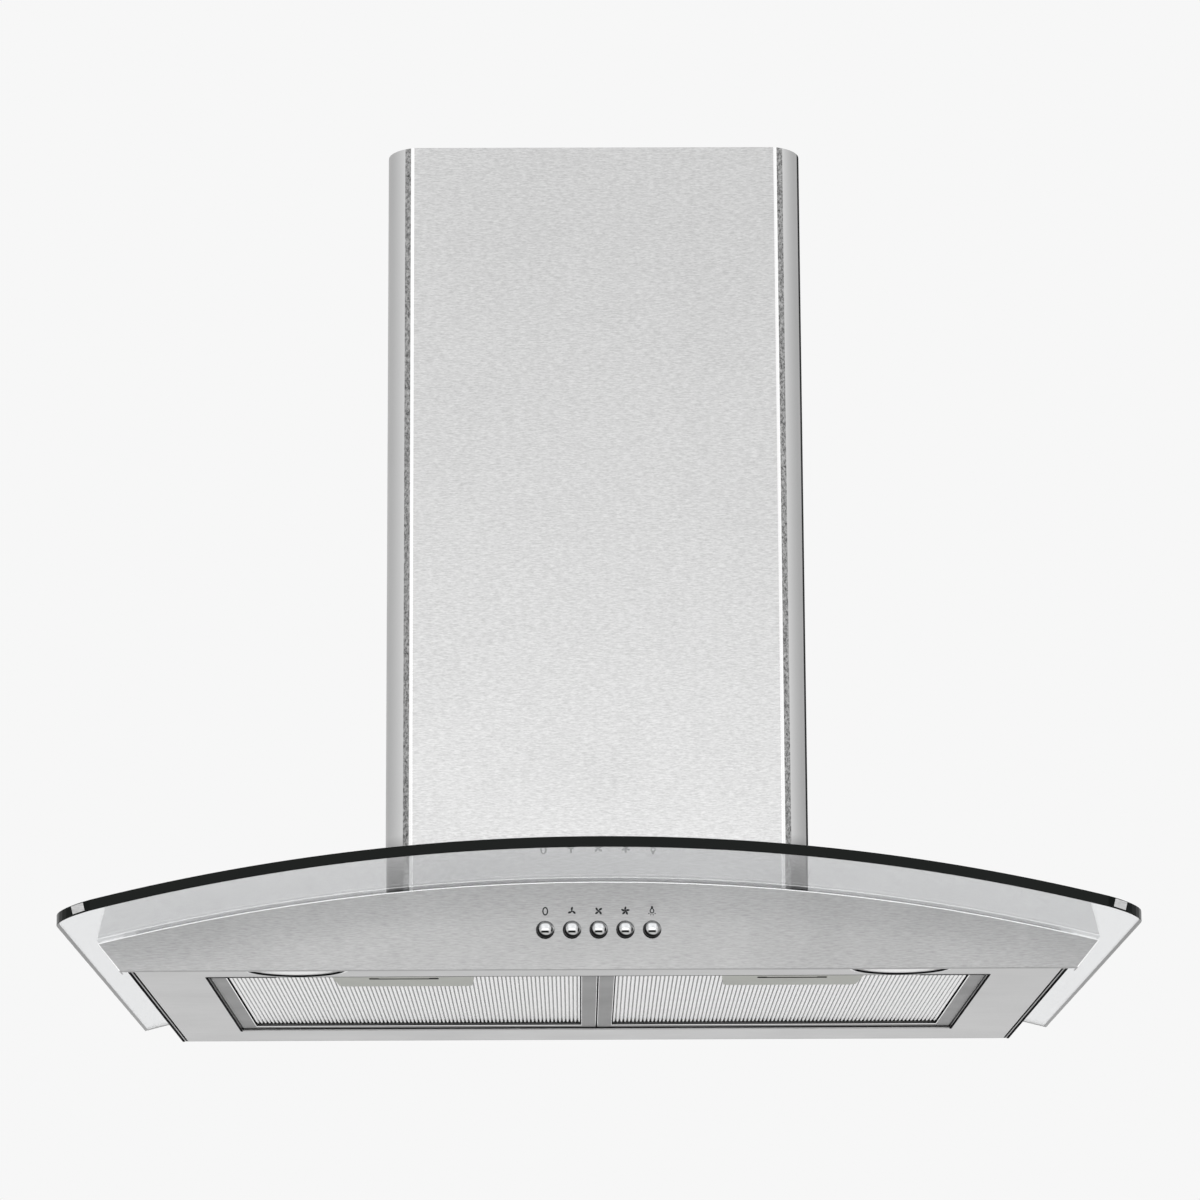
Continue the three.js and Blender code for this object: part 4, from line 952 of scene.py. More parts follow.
@dataclass
class GlassCanopy(SubAssembly):
    """The arched pane, with the foam strips that carry it."""

    width: float = 600 * MM
    depth: float = 500 * MM
    thickness: float = 6 * MM
    arch_radius: float = 1200 * MM
    bow: float = 10 * MM
    corner: float = 25 * MM
    wall_gap: float = 1 * MM
    notch: Pair = (110.5 * MM, -242.5 * MM)
    holes: tuple[Pair, ...] = ((115, -53), (115, -205))  # in millimetres, on each side
    hole_radius: float = 4 * MM
    arris: float = 0.5 * MM
    arch_steps: int = 64
    overhang: float = 12 * MM  # of the spun blank, past the finished outline
    # Bright patches on the front edge: painted reflection of a softbox.
    painted_glint_x: float = 285 * MM
    painted_glint_corners: Corners = ((-3.8, -0.15, 0.8), (3.8, 1.5, 5.4))  # in millimetres, from the edge's foot

    def front(self, x: float) -> float:
        """The front edge's place at a distance from the middle."""
        bow = ((self.width / 2) ** 2 + self.bow**2) / (2 * self.bow)
        return bow - self.depth - math.sqrt(bow**2 - x**2)

    def blank(self) -> Piece:
        """Spins an upright section of the pane along the arch.

        Returns:
            The blank, larger all round than the pane.
        """
        half_angle = math.asin((self.width / 2 + self.overhang) / self.arch_radius)
        low, deep = -self.depth - self.overhang, self.thickness
        centre = Vector((0, 0, -self.arch_radius))
        section = [(0, low, 0), (0, self.overhang, 0), (0, self.overhang, deep), (0, low, deep)]
        piece = Bench.chain(section)
        with Bench.editing(piece):
            bpy.ops.mesh.edge_face_add()
            bpy.ops.transform.rotate(value=half_angle, orient_axis="Y", center_override=centre)
            bpy.ops.mesh.spin(steps=self.arch_steps, angle=-2 * half_angle, center=centre, axis=Axis.Y.value)
            bpy.ops.mesh.select_all(action="SELECT")
            bpy.ops.mesh.remove_doubles(threshold=WELD)
            bpy.ops.mesh.normals_make_consistent(inside=False)
        return piece

    def outline(self) -> list[Point]:
        """The pane's outline in plan, anticlockwise from the rear right.

        Returns:
            The corners, a little under the pane.
        """
        half = self.width / 2
        corner_x = half - self.corner
        corner_y = self.front(corner_x) + self.corner
        turns = [i / 10 * math.pi / 2 for i in range(11)]
        right = [(corner_x + self.corner * math.cos(t), corner_y - self.corner * math.sin(t)) for t in turns]
        front = [(corner_x * (1 - i / 20), self.front(corner_x * (1 - i / 20))) for i in range(1, 40)]
        left = [(-x, y) for x, y in reversed(right)]
        rear = -self.wall_gap
        return [(x, y, -0.2) for x, y in [(half, rear), *right, *front, *left, (-half, rear)]]

    def painted_glint(self) -> Piece:
        """A bright steel patch on the pane's front edge, near the right corner: a painted reflection of a
        softbox.

        Returns:
            The patch.
        """
        low, high = self.painted_glint_corners
        painted_glint = Bench.block(mm(*low), mm(*high))
        with Bench.editing(painted_glint):
            bpy.ops.mesh.subdivide(number_cuts=3)
        Bench.soften(painted_glint, 0.1 * MM)
        x, corner_x = self.painted_glint_x, self.width / 2 - self.corner
        turn = math.asin((x - corner_x) / self.corner)
        y = self.front(corner_x) + self.corner * (1 - math.cos(turn))
        drop = self.arch_radius - math.sqrt(self.arch_radius**2 - x**2)
        lean = math.asin(x / self.arch_radius)
        turned = Matrix.Rotation(lean, 4, "Y") @ Matrix.Rotation(turn, 4, "Z")
        painted_glint.data.transform(Matrix.Translation((x, y, -drop)) @ turned)
        return painted_glint

    def build(self) -> None:
        """Builds the pane and dresses its foam."""
        pane = self.blank()
        Bench.carve(pane, Bench.prism(self.outline(), (0, 0, 0.4)), Cut.CROP)
        notch_x, notch_y = self.notch
        Bench.carve(pane, Bench.block((-notch_x, notch_y, -0.1), (notch_x, 0.1, 0.1)))
        for x, y in self.holes:
            for side in (-1, 1):
                Bench.clear()
                bpy.ops.mesh.primitive_cylinder_add(
                    vertices=24, radius=self.hole_radius, depth=0.1, location=(side * x * MM, y * MM, 0)
                )
                Bench.carve(pane, bpy.context.object)
        with Bench.editing(pane):
            bpy.ops.mesh.remove_doubles(threshold=WELD)
            bpy.ops.mesh.dissolve_limited(angle_limit=math.radians(0.1))
        Bench.soften(pane, self.arris, 2, 50)
        pane.data.materials.append(self.shop.material(CLEAR_GLASS))
        pane.data.materials.append(self.shop.material(GLASS_EDGE))
        arch_axis = Vector((0, 0, -self.arch_radius))
        for face in pane.data.polygons:
            radial = Vector((face.center.x, 0, face.center.z - arch_axis.z)).normalized()
            face.material_index = 0 if abs(face.normal.dot(radial)) > 0.9 else 1
        self.settle(pane, "glass_pane", CLEAR_GLASS, stands_for="glass_canopy")
        # Bright steel patches at the front corners: painted reflection of a softbox on the glass edge.
        painted_glint = self.painted_glint()
        self.settle(Bench.mirrored(painted_glint), "edge_painted_glint_left", CHIMNEY_STEEL)
        self.settle(painted_glint, "edge_painted_glint_right", CHIMNEY_STEEL)
        self.dress("glass_gasket", FOAM, 0)
        self.dress("clamp_pad", FOAM, 0)


@dataclass
class Canopy(SubAssembly):
    """The steel canopy under the glass: its body, underside and front panel."""

    face: float = -387.8 * MM  # of the front panel
    rim: float = 0.3 * MM
    keypad: float = 42 * MM  # half width of the part of the panel that holds the buttons
    keypad_top: float = -12 * MM
    bottom: float = -50.8 * MM  # the panel's lower edge keeps the grain
    seam_x: float = 273.5 * MM
    # The corners of the side strips of painted shadow and of the seals are in millimetres, and a side strip's
    # are measured from seam_x.
    seam: Corners = ((-0.2, -386.4, -45.5), (1.4, -1.5, -43))
    opening: Corners = ((190, -310.3, -45.35), (231.9, -54.2, -44.7))  # round the opening's right front corner
    opening_hem: Pair = (1.3 * MM, 0.5 * MM)  # its width along the side and along the front
    front_bead: Corners = ((-190.5, -310.3, -45.12), (190.5, -309.9, -44.7))  # its thin run between the corners

    def paint_rim_highlight(self, panel: Piece) -> None:
        """Insets the panel's face, and gives the strip round it and the rounded edge beside that a painted
        highlight in bright, smoother steel.

        Args:
            panel: The dressed front panel.
        """
        with Bench.editing(panel):
            face_end = self.face + 0.1 * MM
            Bench.pick_faces(panel, lambda middle, normal: normal.y < -0.99 and middle.y < face_end)
            bpy.ops.mesh.inset(thickness=self.rim, depth=0)
        panel.data.materials.append(self.shop.material(RIM_PAINTED_HIGHLIGHT_STEEL))
        # Painted highlight on the rim strip and the rounded edge.
        for face in panel.data.polygons:
            height = face.center.z - CROWN
            bore = abs(face.center.x) < self.keypad and height < self.keypad_top
            rim = not face.select and face.normal.y < -0.2 and face.center.y < self.face + 0.6 * MM
            if rim and not bore and height > self.bottom:
                face.material_index = 1

    def side_painted_shadow(self) -> Piece:
        """A black strip along the lower edge of the right side wall: painted shadow in the gap there.

        Returns:
            The strip.
        """
        low, high = ((self.seam_x + x * MM, y * MM, z * MM) for x, y, z in self.seam)
        painted_shadow = Bench.block(low, high)
        Bench.soften(painted_shadow, 0.4 * MM, 3)
        Bench.smooth(painted_shadow)
        return painted_shadow

    def opening_seal(self) -> Piece:
        """The black bead along the right side of the filters' opening and round its front corner.

        Returns:
            The bead.
        """
        low, high = (mm(*corner) for corner in self.opening)
        bead = Bench.block(low, high)
        side, front = self.opening_hem
        Bench.carve(bead, Bench.block((0, low[1] + front, -0.1), (high[0] - side, 0, 0)))
        Bench.soften(bead, 0.12 * MM)
        Bench.smooth(bead)
        return bead

    def build(self) -> None:
        """Dresses the three folded pieces, adds black strips of painted shadow at the sides, and the seals
        round the opening.
        """
        self.paint_rim_highlight(self.dress("front_panel", CANOPY_STEEL, 0.45 * MM, 20))
        # Black strips of painted shadow along the sides.
        painted_shadow = self.side_painted_shadow()
        self.settle(Bench.mirrored(painted_shadow), "side_painted_shadow_left", BLACK_RUBBER_AND_PAINTED_SHADOW)
        self.settle(painted_shadow, "side_painted_shadow_right", BLACK_RUBBER_AND_PAINTED_SHADOW)
        corner = self.opening_seal()
        self.settle(Bench.mirrored(corner), "opening_seal_left", BLACK_RUBBER_AND_PAINTED_SHADOW)
        self.settle(corner, "opening_seal_right", BLACK_RUBBER_AND_PAINTED_SHADOW)
        run = Bench.block(*(mm(*corner) for corner in self.front_bead))
        Bench.soften(run, 0.08 * MM)
        self.settle(run, "opening_seal_front", BLACK_RUBBER_AND_PAINTED_SHADOW)
        self.dress("underside_panel", UNDERSIDE_STEEL, 0.3 * MM)
        self.dress("canopy_body", CANOPY_STEEL, 0.3 * MM)


class Legend(Enum):
    """The mark above a button."""

    OFF = "off"
    SLOW = 3
    MIDDLE = 4
    FAST = 5
    LAMP = "lamp"


@dataclass
class Controls(SubAssembly):
    """Five half-ball push buttons, the marks above them, and the switch bank behind."""

    nodes: tuple[str, ...] = (
        "button_off", "button_speed_1", "button_speed_2", "button_speed_3", "button_light",
    )
    pitch: float = BUTTON_PITCH
    height: float = BUTTON_HEIGHT
    mark_height: float = -18.2 * MM
    panel: float = -387.8 * MM  # the front panel's face
    radius: float = BUTTON_RADIUS
    nose: float = 5.2 * MM
    mark_depth: float = 0.06 * MM
    # The marks' reaches are in millimetres.
    rays: tuple[float, ...] = (-0.9, -0.3, 0.3, 0.9)  # radians from straight down, round the lamp's mark
    ray_reach: float = 2.3
    blade_reach: float = 1.45
    blade_sweep: float = 14  # degrees by which a fan's blade leans past its own direction

    def button(self) -> Piece:
        """Turns the middle button: a polished half ball, its skirt, collar and stem.

        Returns:
            The button.
        """
        centre = self.panel - self.nose + self.radius
        turns = [i / 12 * math.pi / 2 for i in range(13)]
        cap = [(self.radius * math.sin(t), centre - self.radius * math.cos(t)) for t in turns]
        skirt = [
            (4.75, -386.5), (6.0, -386.5), (6.2, -386.3), (6.2, -385.5), (2.6, -385.5), (2.6, -372.4),
            (2.1, -371.9), (0, -371.9),
        ]
        profile = cap + [mm(r, y) for r, y in skirt]
        return Bench.turned([(r, y, self.height) for r, y in profile], (0, 0, self.height), Axis.Y, 48)

    def _disc(
        self, width: float, height: float, x: float = 0, z: float = 0, lean: float = 0, hollow: float = 0
    ) -> Piece:
        """Cuts one stroke of a mark: a disc, squeezed, leant and sunk a hair into the panel.

        Args:
            width: Its width in millimetres.
            height: Its height in millimetres.
            x: Its place beside the mark's middle, in millimetres.
            z: Its place above it, in millimetres.
            lean: Degrees from upright, clockwise.
            hollow: Width of the line where only the rim is printed, in millimetres.

        Returns:
            The stroke.
        """
        Bench.clear()
        bpy.ops.mesh.primitive_circle_add(
            vertices=24, radius=0.5, fill_type="NOTHING" if hollow else "NGON", rotation=(math.pi / 2, 0, 0)
        )
        stroke = bpy.context.object
        Bench.apply_place(stroke)
        with Bench.editing(stroke):
            bpy.ops.transform.resize(value=(width * MM, 1, height * MM))
            if hollow:
                inner = (1 - 2 * hollow / width, 1, 1 - 2 * hollow / height)
                bpy.ops.mesh.extrude_edges_move(TRANSFORM_OT_translate={"value": (0, 0, 0)})
                bpy.ops.transform.resize(value=inner)
            bpy.ops.mesh.select_all(action="SELECT")
            bpy.ops.mesh.extrude_region_move(TRANSFORM_OT_translate={"value": (0, self.mark_depth, 0)})
            bpy.ops.mesh.select_all(action="SELECT")
            bpy.ops.mesh.normals_make_consistent(inside=False)
        stroke.data.transform(Matrix.Rotation(math.radians(lean), 4, "Y"))
        place = (x * MM, self.panel - self.mark_depth / 2, self.mark_height + z * MM)
        stroke.data.transform(Matrix.Translation(place))
        return stroke

    def mark(self, legend: Legend) -> Piece:
        """Cuts the mark above one button, as if it were the middle one.

        Args:
            legend: What the mark shows.

        Returns:
            The mark.
        """
        if legend is Legend.OFF:
            return self._disc(3.4, 5.0, hollow=0.75)
        if legend is Legend.LAMP:
            rays = []
            for turn in self.rays:
                x, z = self.ray_reach * math.sin(turn), -0.1 - self.ray_reach * math.cos(turn)
                rays.append(self._disc(0.5, 1.0, x, z, -math.degrees(turn)))
            return Bench.joined([self._disc(2.7, 3.0, hollow=0.6), self._disc(1.3, 1.6, z=2.0), *rays])
        blades = []
        for i in range(legend.value):
            lean = 360 * (i + (0.5 if legend is Legend.MIDDLE else 0)) / legend.value
            x, z = (self.blade_reach * part(math.radians(lean)) for part in (math.sin, math.cos))
            blades.append(self._disc(1.2, 2.2, x, z, lean + self.blade_sweep))
        return Bench.joined([*blades, self._disc(1.0, 1.0)])

    def build(self) -> None:
        """Builds the buttons and their marks, and dresses the switch bank."""
        pattern = self.button()
        Bench.smooth(pattern, 40)
        for i, (node, legend) in enumerate(zip(self.nodes, Legend)):
            x = (i - 2) * self.pitch
            # The caps' chrome carries a painted reflection in its colour.
            self.settle(Bench.copied(pattern, (x, 0, 0)), node + "_cap", CHROME_PAINTED_REFLECTION, node, node)
            mark = self.mark(legend)
            mark.data.transform(Matrix.Translation((x, 0, 0)))
            self.settle(mark, node + "_mark", PRINT)
        bpy.data.objects.remove(pattern)
        self.dress("switch_bracket", GALVANISED)
        self.dress("switch_bank", BLACK_PLASTIC)


@dataclass
class Downlights(SubAssembly):
    """Two round lamps: bezel, ringed lens and module."""

    x: float = 176 * MM
    y: float = -351 * MM
    underside: float = -45 * MM
    steps: int = 72

    def _turn(self, profile: Sequence[Pair]) -> Piece:
        """Turns a profile of radii and heights, in millimetres, about the left lamp's axis.

        Args:
            profile: The radii and heights along the profile.

        Returns:
            The turned piece.
        """
        points = [(-self.x + r * MM, self.y, self.underside + z * MM) for r, z in profile]
        piece = Bench.turned(points, (-self.x, self.y, self.underside), Axis.Z, self.steps)
        Bench.smooth(piece, 35)
        return piece

    def bezel(self) -> Piece:
        """The rim, rolled over on its lower face, and the barrel above it.

        Returns:
            The left bezel.
        """
        rim = [
            (27.6, -0.75), (27.75, -1.02), (28.2, -1.18), (29.2, -1.2), (30.9, -1.2), (31.6, -1.08),
            (31.95, -0.8), (32, -0.5), (31.9, -0.3),
        ]
        return self._turn([*rim, (28.6, -0.3), (28.6, 8), (27.6, 8), rim[0]])

    def lens(self) -> Piece:
        """A shallow dome with three moulded rings towards its edge.

        Returns:
            The left lens.
        """
        edge, radius, dome, thick, groove = -0.75, 27.3, 1.2, 1.6, 0.16
        waves, rings_from = 7, 0.55
        low = []
        for i in range(41):
            share = i / 40
            ring = groove * (0.5 - 0.5 * math.cos(share * waves * FULL_TURN)) if share > rings_from else 0
            low.append((radius * share, edge - dome * (1 - share**2) + ring))
        high = [(radius * s, edge + thick - dome * (1 - s**2)) for s in (1, 0.75, 0.5, 0.25, 0)]
        return self._turn(low + high)

    def painted_shadow(self) -> Piece:
        """A black ring between the lens and the bezel: painted shadow in the gap round the lens."""
        ring = [(27, -0.6), (27.25, -1.25), (27.9, -1.6), (28.7, -1.6), (29.3, -1.3), (29.3, -1), (28, -0.6)]
        return self._turn([*ring, ring[0]])

    def module(self) -> Piece:
        """The housing behind the lens, with its plug.

        Returns:
            The left module.
        """
        housing = [(0, 1.15), (27.3, 1.15), (27.3, 8), (26.7, 9.6), (25.3, 10.7), (24, 11)]
        plug = [(14.1, 11), (13.6, 11.4), (13.6, 12.6), (13.1, 13), (0, 13)]
        return self._turn(housing + plug)

    def build(self) -> None:
        """Builds the left lamp and mirrors it."""
        parts = (
            ("bezel", self.bezel, BEZEL_CHROME),
            ("lens", self.lens, LENS_GLASS),
            ("module", self.module, WHITE_PLASTIC),
        )
        for part, make, finish in parts:
            left = make()
            right = Bench.mirrored(left)
            Bench.smooth(right, 35)
            for side, piece in (("left", left), ("right", right)):
                self.settle(piece, f"downlight_{part}_{side}", finish, stands_for=f"lamp_{part}_{side}")
        # Black rings of painted shadow round the lenses.
        painted_shadow = self.painted_shadow()
        self.settle(Bench.mirrored(painted_shadow), "downlight_painted_shadow_right", BLACK_RUBBER_AND_PAINTED_SHADOW)
        self.settle(painted_shadow, "downlight_painted_shadow_left", BLACK_RUBBER_AND_PAINTED_SHADOW)


@dataclass
class Filters(SubAssembly):
    """Two grease filters: frame, ribbed face and latch."""

    centre: float = 115.3 * MM
    # From here on in millimetres.
    front: float = -309.2
    rib_count: int = 84
    pitch: float = 2.51  # from rib to rib
    rib_half: float = 1.02
    rib_low: float = -42.3
    rib_top: float = -40.4
    crest: float = 0.6  # how blunt a rib is: 1 for a sine
    stations: tuple[Pair, ...] = (  # places along a rib, from the front, and its share of full size there
        (-299.4, 0.3), (-298.8, 0.8), (-297.8, 1), (-79, 1), (-77.6, 0.7), (-76.8, 0.28), (-73.6, 0.28),
        (-72.6, 0.8), (-68.8, 0.8), (-67.8, 0.28), (-64.6, 0.28),
    )
    foil_half: float = 113.6
    foil_rows: tuple[Pair, ...] = ((-307.9, -77.5), (-73.4, -72.2), (-64.9, -56.1))
    foil_lift: float = 0.1
    bar: Pair = (105.2, 110.0)  # from the filter's middle to a cross bar's sides

    def ribs(self) -> Piece:
        """One rib, drawn out along its stations and repeated across the filter.

        Returns:
            All the ribs of a filter that stands at the middle plane.
        """
        first = -self.pitch * (self.rib_count - 1) / 2
        stations = self.stations
        turns = [i / 8 * math.pi for i in range(9)]
        drop = self.rib_low - self.rib_top
        across = [first - self.rib_half * math.cos(t) for t in turns]
        section = [(x, self.rib_top + drop * math.sin(t) ** self.crest) for x, t in zip(across, turns)]
        top = Vector(mm(first, 0, self.rib_top))
        rib = Bench.chain([mm(x, stations[0][0], z) for x, z in section])
        with Bench.editing(rib):
            bpy.ops.mesh.edge_face_add()
            size = stations[0][1]
            bpy.ops.transform.resize(value=(size, 1, size), center_override=top)
            for (here, before), (there, after) in zip(stations, stations[1:]):
                step = mm(0, there - here, 0)
                bpy.ops.mesh.extrude_region_move(TRANSFORM_OT_translate={"value": step})
                grow = after / before
                bpy.ops.transform.resize(value=(grow, 1, grow), center_override=top)
            bpy.ops.mesh.select_all(action="SELECT")
            bpy.ops.mesh.normals_make_consistent(inside=False)
        Bench.smooth(rib, 40)
        Bench.modify(
            rib,
            "ARRAY",
            count=self.rib_count,
            use_relative_offset=False,
            use_constant_offset=True,
            constant_offset_displace=(self.pitch * MM, 0, 0),
        )
        return rib

    def backing(self) -> Piece:
        """The folded foil behind the ribs, open along the rear row, with its two cross bars.

        Returns:
            The foil of a filter that stands at the middle plane.
        """
        low, half = self.rib_top - self.foil_lift, self.foil_half
        high = low + 0.5
        rows = [Bench.block(mm(-half, front, low), mm(half, rear, high)) for front, rear in self.foil_rows]
        near, far = self.bar
        bars = [Bench.block(mm(a, -300, low), mm(b, -64, high)) for a, b in ((-far, -near), (near, far))]
        foil = Bench.joined([*rows, *bars])
        Bench.soften(foil, 0.1 * MM)
        return foil

    def latch(self) -> Piece:
        """Face plate with rounded rear corners and a finger slit whose rear wall is black as painted shadow,
        its slider, wings and tongue.

        Returns:
            The latch of a filter that stands at the middle plane.
        """
        front, rear = self.front + 0.3, self.front + 44.3
        low, high, top = -44.6, -43.7, -41.3
        outline = [(-42.3, front), (42.3, front), (39.8, rear), (-39.8, rear)]
        plate = Bench.prism([mm(x, y, low) for x, y in outline], mm(0, 0, high - low))
        with Bench.editing(plate):
            bpy.context.tool_settings.mesh_select_mode = (False, True, False)
            bpy.ops.mesh.select_all(action="DESELECT")
            mesh = bmesh.from_edit_mesh(plate.data)
            for edge in mesh.edges:
                a, b = (v.co for v in edge.verts)
                edge.select_set(abs(a.z - b.z) > 0.5 * MM and a.y > (rear - 1) * MM)
            bmesh.update_edit_mesh(plate.data)
            bpy.ops.mesh.bevel(offset=4 * MM, segments=6, affect="EDGES")
        grip, grip_rear = self.front + 6.3, self.front + 13.8
        Bench.carve(plate, Bench.block(mm(-20.6, grip, -46), mm(20.6, grip_rear, low + 0.75)))
        Bench.soften(plate, 0.18 * MM, 2, 50)
        blocks = [
            ((-15, front + 0.2, high - 0.4), (15, front + 35, top)),
            ((-18, self.front + 1.4, top - 1), (18, self.front + 8.5, top - 0.01)),
            ((-14.98, self.front - 4.4, high), (14.98, front + 1, top - 0.02)),
        ]
        for corners in blocks:
            part = Bench.block(*(mm(*corner) for corner in corners))
            Bench.soften(part, 0.25 * MM)
            Bench.carve(plate, part, Cut.JOIN)
        Bench.smooth(plate, 30)
        # The finger slit's rear wall gets painted shadow: black rubber.
        for finish in (LATCH_PLASTIC, BLACK_RUBBER_AND_PAINTED_SHADOW):
            plate.data.materials.append(self.shop.material(finish))
        for face in plate.data.polygons:
            painted_shadow_wall = abs(face.center.y - grip_rear * MM) < 0.3 * MM and face.center.z > (low + 0.05) * MM
            face.material_index = int(painted_shadow_wall and face.normal.y < -0.5)
        return plate

    def paint_edge_highlight(self, filter_frame: Piece) -> None:
        """Gives the rounded lower edges of a frame a painted highlight, in the ribs' bright aluminium.

        Args:
            filter_frame: The dressed frame.
        """
        filter_frame.data.materials.append(self.shop.material(RIB_ALUMINIUM))
        # Painted highlight on the rounded lower edges.
        for face in filter_frame.data.polygons:
            face.material_index = int(-0.95 < face.normal.z < -0.2 and face.center.z < CROWN - 42 * MM)

    def build(self) -> None:
        """Builds one filter's face and latch, and sets both up on the left and right."""
        ribs, backing, latch = self.ribs(), self.backing(), self.latch()
        for side, sign in (("left", -1), ("right", 1)):
            self.paint_edge_highlight(self.dress(f"filter_frame_{side}", FILTER_ALUMINIUM, 0.45 * MM))
            face, foil, grip = (
                Bench.copied(pattern, (sign * self.centre, 0, 0)) for pattern in (ribs, backing, latch)
            )
            body = f"filter_{side}"
            self.settle(face, f"filter_ribs_{side}", RIB_ALUMINIUM, body, f"filter_mesh_{side}")
            self.settle(foil, f"filter_foil_{side}", FILTER_ALUMINIUM, body)
            self.settle(
                grip, f"latch_{side}_moulding", LATCH_PLASTIC, f"latch_{side}", f"filter_latch_{side}"
            )
        for pattern in (ribs, backing, latch):
            bpy.data.objects.remove(pattern)


@dataclass
class Chimney(SubAssembly):
    """The two telescopic covers, with their clips and wall bracket."""

    # Round each front corner, by the distance from the middle plane at which each starts: the bend's painted
    # highlight, grain with painted shade, and the corner's painted shade.
    bands: tuple[tuple[float, Finish], ...] = (
        (112.0 * MM, BEND_PAINTED_HIGHLIGHT_STEEL),
        (114.1 * MM, GRAIN_AND_PAINTED_SHADE_STEEL),
        (117.7 * MM, CORNER_PAINTED_SHADE_STEEL),
    )
    shaded: float = 127.3 * MM  # where the right corner turns away from every lamp
    upper_inset: float = 1.8 * MM

    def shade_corners(self, cover: Piece, inset: float) -> None:
        """Cuts a cover's front corners into upright bands: a painted highlight along the bend, painted shade
        beside it and round the corner, darker still on the right.

        Args:
            cover: The dressed cover.
            inset: How much narrower it is than the lower cover, on each side.
        """
        starts = [start - inset for start, _ in self.bands]
        shaded = self.shaded - inset
        with Bench.editing(cover):
            for x in (*starts, *(-start for start in starts), shaded):
                bpy.ops.mesh.select_all(action="SELECT")
                bpy.ops.mesh.bisect(plane_co=(x, 0, 0), plane_no=Axis.X.value)
        for _, finish in self.bands:
            cover.data.materials.append(self.shop.material(finish))
        for finish in (SHADED_STEEL, FAR_CORNER_PAINTED_SHADE_STEEL):
            cover.data.materials.append(self.shop.material(finish))
        for face in cover.data.polygons:
            # Painted highlight and painted shade by band; the right corner's outer strip is darker still, and
            # its last strip nearly black.
            if abs(face.normal.z) < 0.5 and face.normal.y < 0.05:
                face.material_index = sum(abs(face.center.x) > start for start in starts)
                if face.center.x > shaded and face.normal.y < -0.02:
                    face.material_index = len(self.bands) + 1
                elif face.center.x > starts[-1]:
                    face.material_index = len(self.bands) + 2
        Bench.smooth(cover, 40)

    def build(self) -> None:
        """Dresses the covers and what holds them."""
        for node, inset in (("lower_chimney_cover", 0), ("upper_chimney_cover", self.upper_inset)):
            self.shade_corners(self.dress(node, CHIMNEY_STEEL, 0.15 * MM, 40), inset)
        for node in ("ceiling_bracket", "cover_clip_left", "cover_clip_right"):
            self.dress(node, GALVANISED)


@dataclass
class Mounting(SubAssembly):
    """The blower box, its clamps and the wall rail."""

    edge: float = 0.25 * MM  # width of the rounding of the pieces' edges

    def build(self) -> None:
        """Dresses the box, the bars, the screws and the rail."""
        for node in ("blower_box", "clamp_bar_left", "clamp_bar_right", "wall_rail"):
            self.dress(node, GALVANISED, self.edge)
        for i in range(1, 5):
            self.dress(f"clamp_screw_{i}", ZINC, self.edge)


@dataclass
class Blower(SubAssembly):
    """The double-inlet blower, its motor and its ducting."""

    edge: float = 0.3 * MM  # width of the rounding of the large pieces' edges
    small_edge: float = 0.2 * MM
    blade_edge: float = 0.12 * MM

    def build(self) -> None:
        """Dresses every piece of the blower."""
        for node in ("blower_scroll", "outlet_duct"):
            self.dress(node, GREY_PLASTIC, self.edge)
        self.dress("blower_wheel", GREY_PLASTIC, self.blade_edge)
        for node in ("inlet_ring_left", "inlet_ring_right"):
            self.dress(node, BLACK_PLASTIC, self.edge)
        for node in ("blower_motor", "motor_bracket", "capacitor_band"):
            self.dress(node, GALVANISED, self.edge)
        for node in ("wheel_shaft", "wheel_nut", "motor_screw_1", "motor_screw_2", "motor_screw_3"):
            self.dress(node, ZINC, self.small_edge)
        self.dress("capacitor", WHITE_PLASTIC, self.edge)


@dataclass
class Outlet(SubAssembly):
    """The round collar with its two damper flaps, and the junction box in front of it."""

    edge: float = 0.3 * MM  # width of the rounding of the large pieces' edges
    small_edge: float = 0.2 * MM

    def build(self) -> None:
        """Dresses the collar, the flaps and the junction box."""
        for node in ("outlet_collar", "junction_box", "junction_box_lid", "cable_gland"):
            self.dress(node, BLACK_PLASTIC, self.edge)
        for node in ("damper_flap_rear", "damper_flap_front"):
            self.dress(node, WHITE_PLASTIC, self.small_edge)
        self.dress("damper_rod", ZINC, self.small_edge)


# ------------------------------------------------------------------------------------- the studio


@dataclass(frozen=True)
class Softbox:
    """A rectangular area lamp.

    Attributes:
        name: Its name.
        place: Where it stands.
        aim: The place that it faces.
        size: Its width and height.
        power: Watts.
    """

    name: str
    place: Point
    aim: Point
    size: Pair
    power: float


